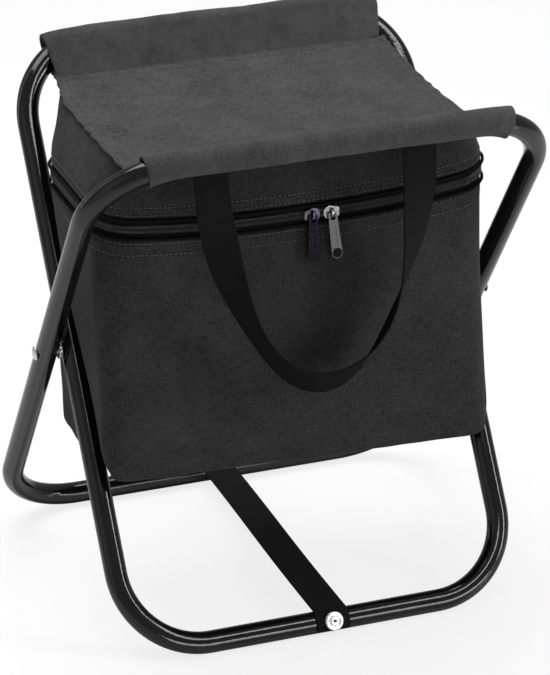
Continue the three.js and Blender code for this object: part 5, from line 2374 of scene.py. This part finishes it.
@dataclass
class FloorStrap:
    """Webbing between the bottom bars, riveted to the outer face of each through a washer."""

    plan: StoolPlan
    finishes: FinishSet
    fold_away: FoldAway
    width: float = 25.0
    thickness: float = 1.4
    shift: float = 3.0
    end_turn: float = 24.0
    rivet_turn: float = 24.0
    shank: float = 4.0
    head: float = 7.0
    head_height: float = 1.2
    hole: float = 0.8
    hole_depth: float = 1.6
    tail: float = 2.8
    tail_height: float = 2.4
    wall: float = 1.0
    washer: float = 13.6
    washer_thickness: float = 0.9
    washer_ridge: float = 0.8
    clearance: float = 0.3
    wrap_steps: int = 26
    span_steps: int = 60
    stations: int = 230

    def route(self) -> Array:
        """The strap's middle line from the front end to the rear one."""
        plan = self.plan
        radius = plan.tube_radius + self.clearance + self.thickness / 2 + 0.1
        turn = np.radians(np.linspace(-self.end_turn, 90, self.wrap_steps))
        out, up = np.cos(turn) * radius, np.sin(turn) * radius
        middle = np.full(self.wrap_steps, self.shift)
        front = np.column_stack([middle, -plan.foot_y - out, plan.tube_radius + up])
        y = np.linspace(-plan.foot_y, plan.foot_y, self.span_steps)[1:-1]
        span = 1 - (y / plan.foot_y) ** 2
        x, z = self.shift + 0.6 * np.sin(y / 60.0) * span, front[-1, 2] - 0.5 * span
        return np.vstack([front, np.column_stack([x, y, z]), (front * [1, -1, 1])[::-1]])

    def washer_profile(self, seat: float) -> list[Place]:
        """A washer with a raised ring.

        Args:
            seat: Distance of its underside from the middle of the bar.

        Returns:
            Distances along the axis and radii.
        """
        face, rim = seat + self.washer_thickness, self.washer / 2
        bore = self.shank / 2 + self.clearance
        inside = self.head / 2 + self.clearance
        middle = (rim + inside) / 2
        turn = np.linspace(0, math.pi / 2 * 0.96, 7)
        raised = [face + self.washer_ridge * math.cos(t) ** 1.4 for t in turn]
        dish = [(up, middle + (rim - middle) * math.sin(t)) for up, t in zip(raised, turn)]
        bowl = [(up, middle - (middle - inside) * math.sin(t)) for up, t in zip(raised, turn)]
        edge = [(seat, bore), (seat, rim - 0.2), (seat + 0.2, rim)]
        return [*edge, *dish[::-1], *bowl[1:], (face, bore), (seat, bore)]

    def rivet_profile(self, head: float) -> list[Place]:
        """A tubular rivet: a spread tail inside the bar, the shank and a rolled head.

        Args:
            head: Distance of the head's underside from the middle of the bar.

        Returns:
            Distances along the axis and radii.
        """
        room = (self.plan.tube_radius - self.wall) ** 2 - self.tail**2
        tail = math.sqrt(room) - self.clearance
        hole, roll, deep = self.hole, (self.head / 2 - self.hole) / 2, head - self.hole_depth
        rolled = [
            (head + self.head_height * math.sin(t), hole + roll - roll * math.cos(t))
            for t in np.linspace(math.pi, 0, 13)
        ]
        end, shank = tail - self.tail_height, self.shank / 2
        foot = [(end, 0.0), (end, self.tail), (tail, self.tail), (tail, shank), (head, shank)]
        return [*foot, *rolled, (deep, hole), (deep, 0.0)]

    def build_rivet(self, word: str, side: int, body: str) -> None:
        """Builds a washer and its tubular rivet.

        Args:
            word: front or rear.
            side: -1 or 1 along Y.
            body: The body they ride on.
        """
        plan, turn = self.plan, math.radians(self.rivet_turn)
        axis = Vector((0, side * math.cos(turn), math.sin(turn)))
        foot = Vector((self.shift, side * plan.foot_y, plan.tube_radius))
        seat = plan.tube_radius / math.cos(math.pi / 20) + self.thickness + 2 * self.clearance
        head = seat + self.washer_thickness + self.clearance
        forms = (
            ("cup_washer", "washer", self.washer_profile(seat), 72),
            ("eyelet_rivet", "rivet", self.rivet_profile(head), 56),
        )
        for kind, node, profile, sides in forms:
            piece = turned(f"strap_{kind}_{word}", profile, axis, foot, sides)
            dressed(piece, self.finishes.washer, f"strap_{node}_{word}", body)

    def build(self) -> None:
        """Builds the strap and both rivets."""
        route = resampled(self.route(), self.stations)
        across = np.tile([1.0, 0.0, 0.0], (len(route), 1))
        strap = webbing("floor_webbing", route, across, self.width, self.thickness)
        dressed(strap, self.finishes.strap, "floor_strap")
        size = (self.width, float(distances(route)[-1]))
        flat_sheet(size)
        self.fold_away.bend_strap(strap)
        self.build_rivet("rear", 1, "outer_frame")
        self.build_rivet("front", -1, "inner_frame")


# Stage


def aimed(start: Sequence[float], end: Sequence[float]) -> Quaternion:
    """The turn that points a lamp or camera from one place to another."""
    return (Vector(end) - Vector(start)).to_track_quat("-Z", "Y")


@dataclass(frozen=True)
class Lamp:
    """A soft box; shine_only lets it show in gloss alone and leave the cloth as it is."""

    name: str
    place: Spot
    size: Place
    power: float
    target: Spot = (0.0, 0.0, 0.2)
    shine_only: bool = False

    def hang(self) -> None:
        """Hangs the lamp and points it at its target."""
        data = bpy.data.lights.new(self.name, "AREA")
        data.shape = "RECTANGLE"
        data.size, data.size_y = self.size
        data.energy = self.power
        holder = linked(self.name, data)
        holder.location = self.place
        holder.visible_diffuse = not self.shine_only
        holder.visible_camera = False
        holder.rotation_mode = "QUATERNION"
        holder.rotation_quaternion = aimed(self.place, self.target)


WALL, WALL_PLACE, WALL_SIZE = (0.0, 0.0, 0.22), (-1.9, -0.5, 0.85), (1.3, 1.5)
FRONT_BAR = (0.0, -0.126, 0.01)
LAMPS = (
    Lamp("overhead", (-0.2, 0.5, 1.9), (1.5, 1.3), 26.0),
    Lamp("left_wall", WALL_PLACE, WALL_SIZE, 1.3, WALL),
    Lamp("left_shine", WALL_PLACE, WALL_SIZE, 5.0, WALL, shine_only=True),
    Lamp("left_strip", (-1.2, 1.0, 0.8), (0.08, 1.5), 1.2),
    Lamp("right_strip", (1.5, -1.1, 0.9), (0.3, 1.5), 13.0),
    Lamp("front_high", (0.75, -1.2, 1.92), (2.4, 0.4), 22.0, FRONT_BAR, shine_only=True),
    Lamp("front_low", (0.75, -2.3, 0.2), (2.4, 0.4), 20.0, FRONT_BAR, shine_only=True),
)


@dataclass
class Studio:
    """White floor, soft lamps and the camera at the photograph's place."""

    eye: Spot = (-0.8215, -2.215, 1.2737)
    target: Spot = (0.00803, 0.0, 0.1749)
    roll: float = 0.162
    focal_pixels: float = 3594.47
    picture_width: int = 550
    sensor: float = 36.0
    clip_end: float = 60.0
    floor_reach: float = 12.0
    floor_drop: float = 0.25
    fill: float = 0.31
    gloss: float = 0.3
    glow: float = 1.1
    glow_share: float = 0.72

    def camera(self) -> None:
        """Makes the camera and gives it to the scene."""
        data = bpy.data.cameras.new("view")
        data.sensor_fit = "HORIZONTAL"
        data.sensor_width = self.sensor
        data.lens = self.focal_pixels / self.picture_width * self.sensor
        data.clip_end = self.clip_end
        holder = linked("view", data)
        roll = Matrix.Rotation(math.radians(self.roll), 4, "Z")
        turn = aimed(self.eye, self.target).to_matrix().to_4x4()
        holder.matrix_world = Matrix.Translation(self.eye) @ turn @ roll
        bpy.context.scene.camera = holder

    def world(self) -> None:
        """White for the camera and in reflections, softer as light."""
        shader = Shader("studio", world=True)
        bpy.context.scene.world = shader.holder
        kinds = ("Camera", "Transmission", "Glossy")
        camera, through, glossy = (shader.node("LightPath", output=f"Is {k} Ray") for k in kinds)
        light = glossy * (self.gloss - self.fill) + self.fill
        level = camera.maths("MAXIMUM", through).maths("MAXIMUM", light)
        back = shader.node("Background", inputs={"Color": (1, 1, 1, 1), "Strength": level})
        shader.feed(shader.out.inputs["Surface"], back)

    def floor(self) -> None:
        """A white floor with a faint polish, which keeps the object's shadow and reflection."""
        reach = np.linspace(-1, 1, 9) * self.floor_reach / MM
        x, y = np.meshgrid(reach, reach)
        points = np.stack([x, y, np.full_like(x, -self.floor_drop)], axis=-1)
        ground = Skin(points, ring=False).build("ground")
        shader = Shader("white_floor")
        cloud = shader.mottle(shader.places("Object"), 3.0, 2.0)
        coat = {
            "Base Color": cloud.between(grey(0.9), grey(0.93)),
            "Roughness": 0.11 + cloud * 0.04,
            "Specular IOR Level": 0.5,
        }
        polished = shader.node("BsdfPrincipled", inputs=coat)
        glow = shader.node("Emission", inputs={"Color": (1, 1, 1, 1), "Strength": self.glow})
        share = shader.node("LightPath", output="Is Camera Ray") * self.glow_share
        mixed = shader.node("MixShader", inputs={0: share, 1: polished, 2: glow})
        shader.feed(shader.out.inputs["Surface"], mixed)
        ground.data.materials.append(shader.holder)

    def build(self) -> None:
        """Sets the stage."""
        self.floor()
        self.world()
        for lamp in LAMPS:
            lamp.hang()
        self.camera()
        bpy.context.scene.view_settings.view_transform = "Standard"


def main() -> None:
    """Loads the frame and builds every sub-assembly on it."""
    logging.basicConfig(level=logging.INFO, format="%(message)s")
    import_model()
    plan = StoolPlan()
    finishes = FinishSet.made()
    shared = (plan, finishes, FoldAway(plan))
    FrameLoops(plan, finishes).build()
    log.info("frame loops and rivets")
    Hem(plan, Bar.FRONT, plan.outer_width, -131.0, 132.0, drape=0.35).build(finishes.hem_cloth)
    Hem(plan, Bar.REAR, plan.inner_width, -124.0, 131.0).build(finishes.hem_cloth)
    log.info("hems")
    Seat(*shared).build(finishes.seat_cloth)
    log.info("seat")
    above, below = Zip(*shared).build()
    log.info("zip")
    Lid(*shared).build(finishes.lid_cloth, above)
    log.info("lid")
    Bag(*shared).build(finishes.bag_cloth, below)
    log.info("bag")
    dark, bright = finishes.slider_dark, finishes.slider_bright
    sliders = (
        ("left", -1, -2.0, dark, finishes.pull_dark, finishes.recess, "dark_metal"),
        ("right", 1, 5.0, bright, finishes.pull_bright, finishes.recess, "bright_metal"),
    )
    for slider in sliders:
        ZipSlider(plan, shared[2], *slider).build()
    log.info("sliders and pulls")
    CarryHandle(plan, finishes).build()
    FloorStrap(*shared).build()
    log.info("webbing")
    Studio().build()


if __name__ == "__main__":
    main()
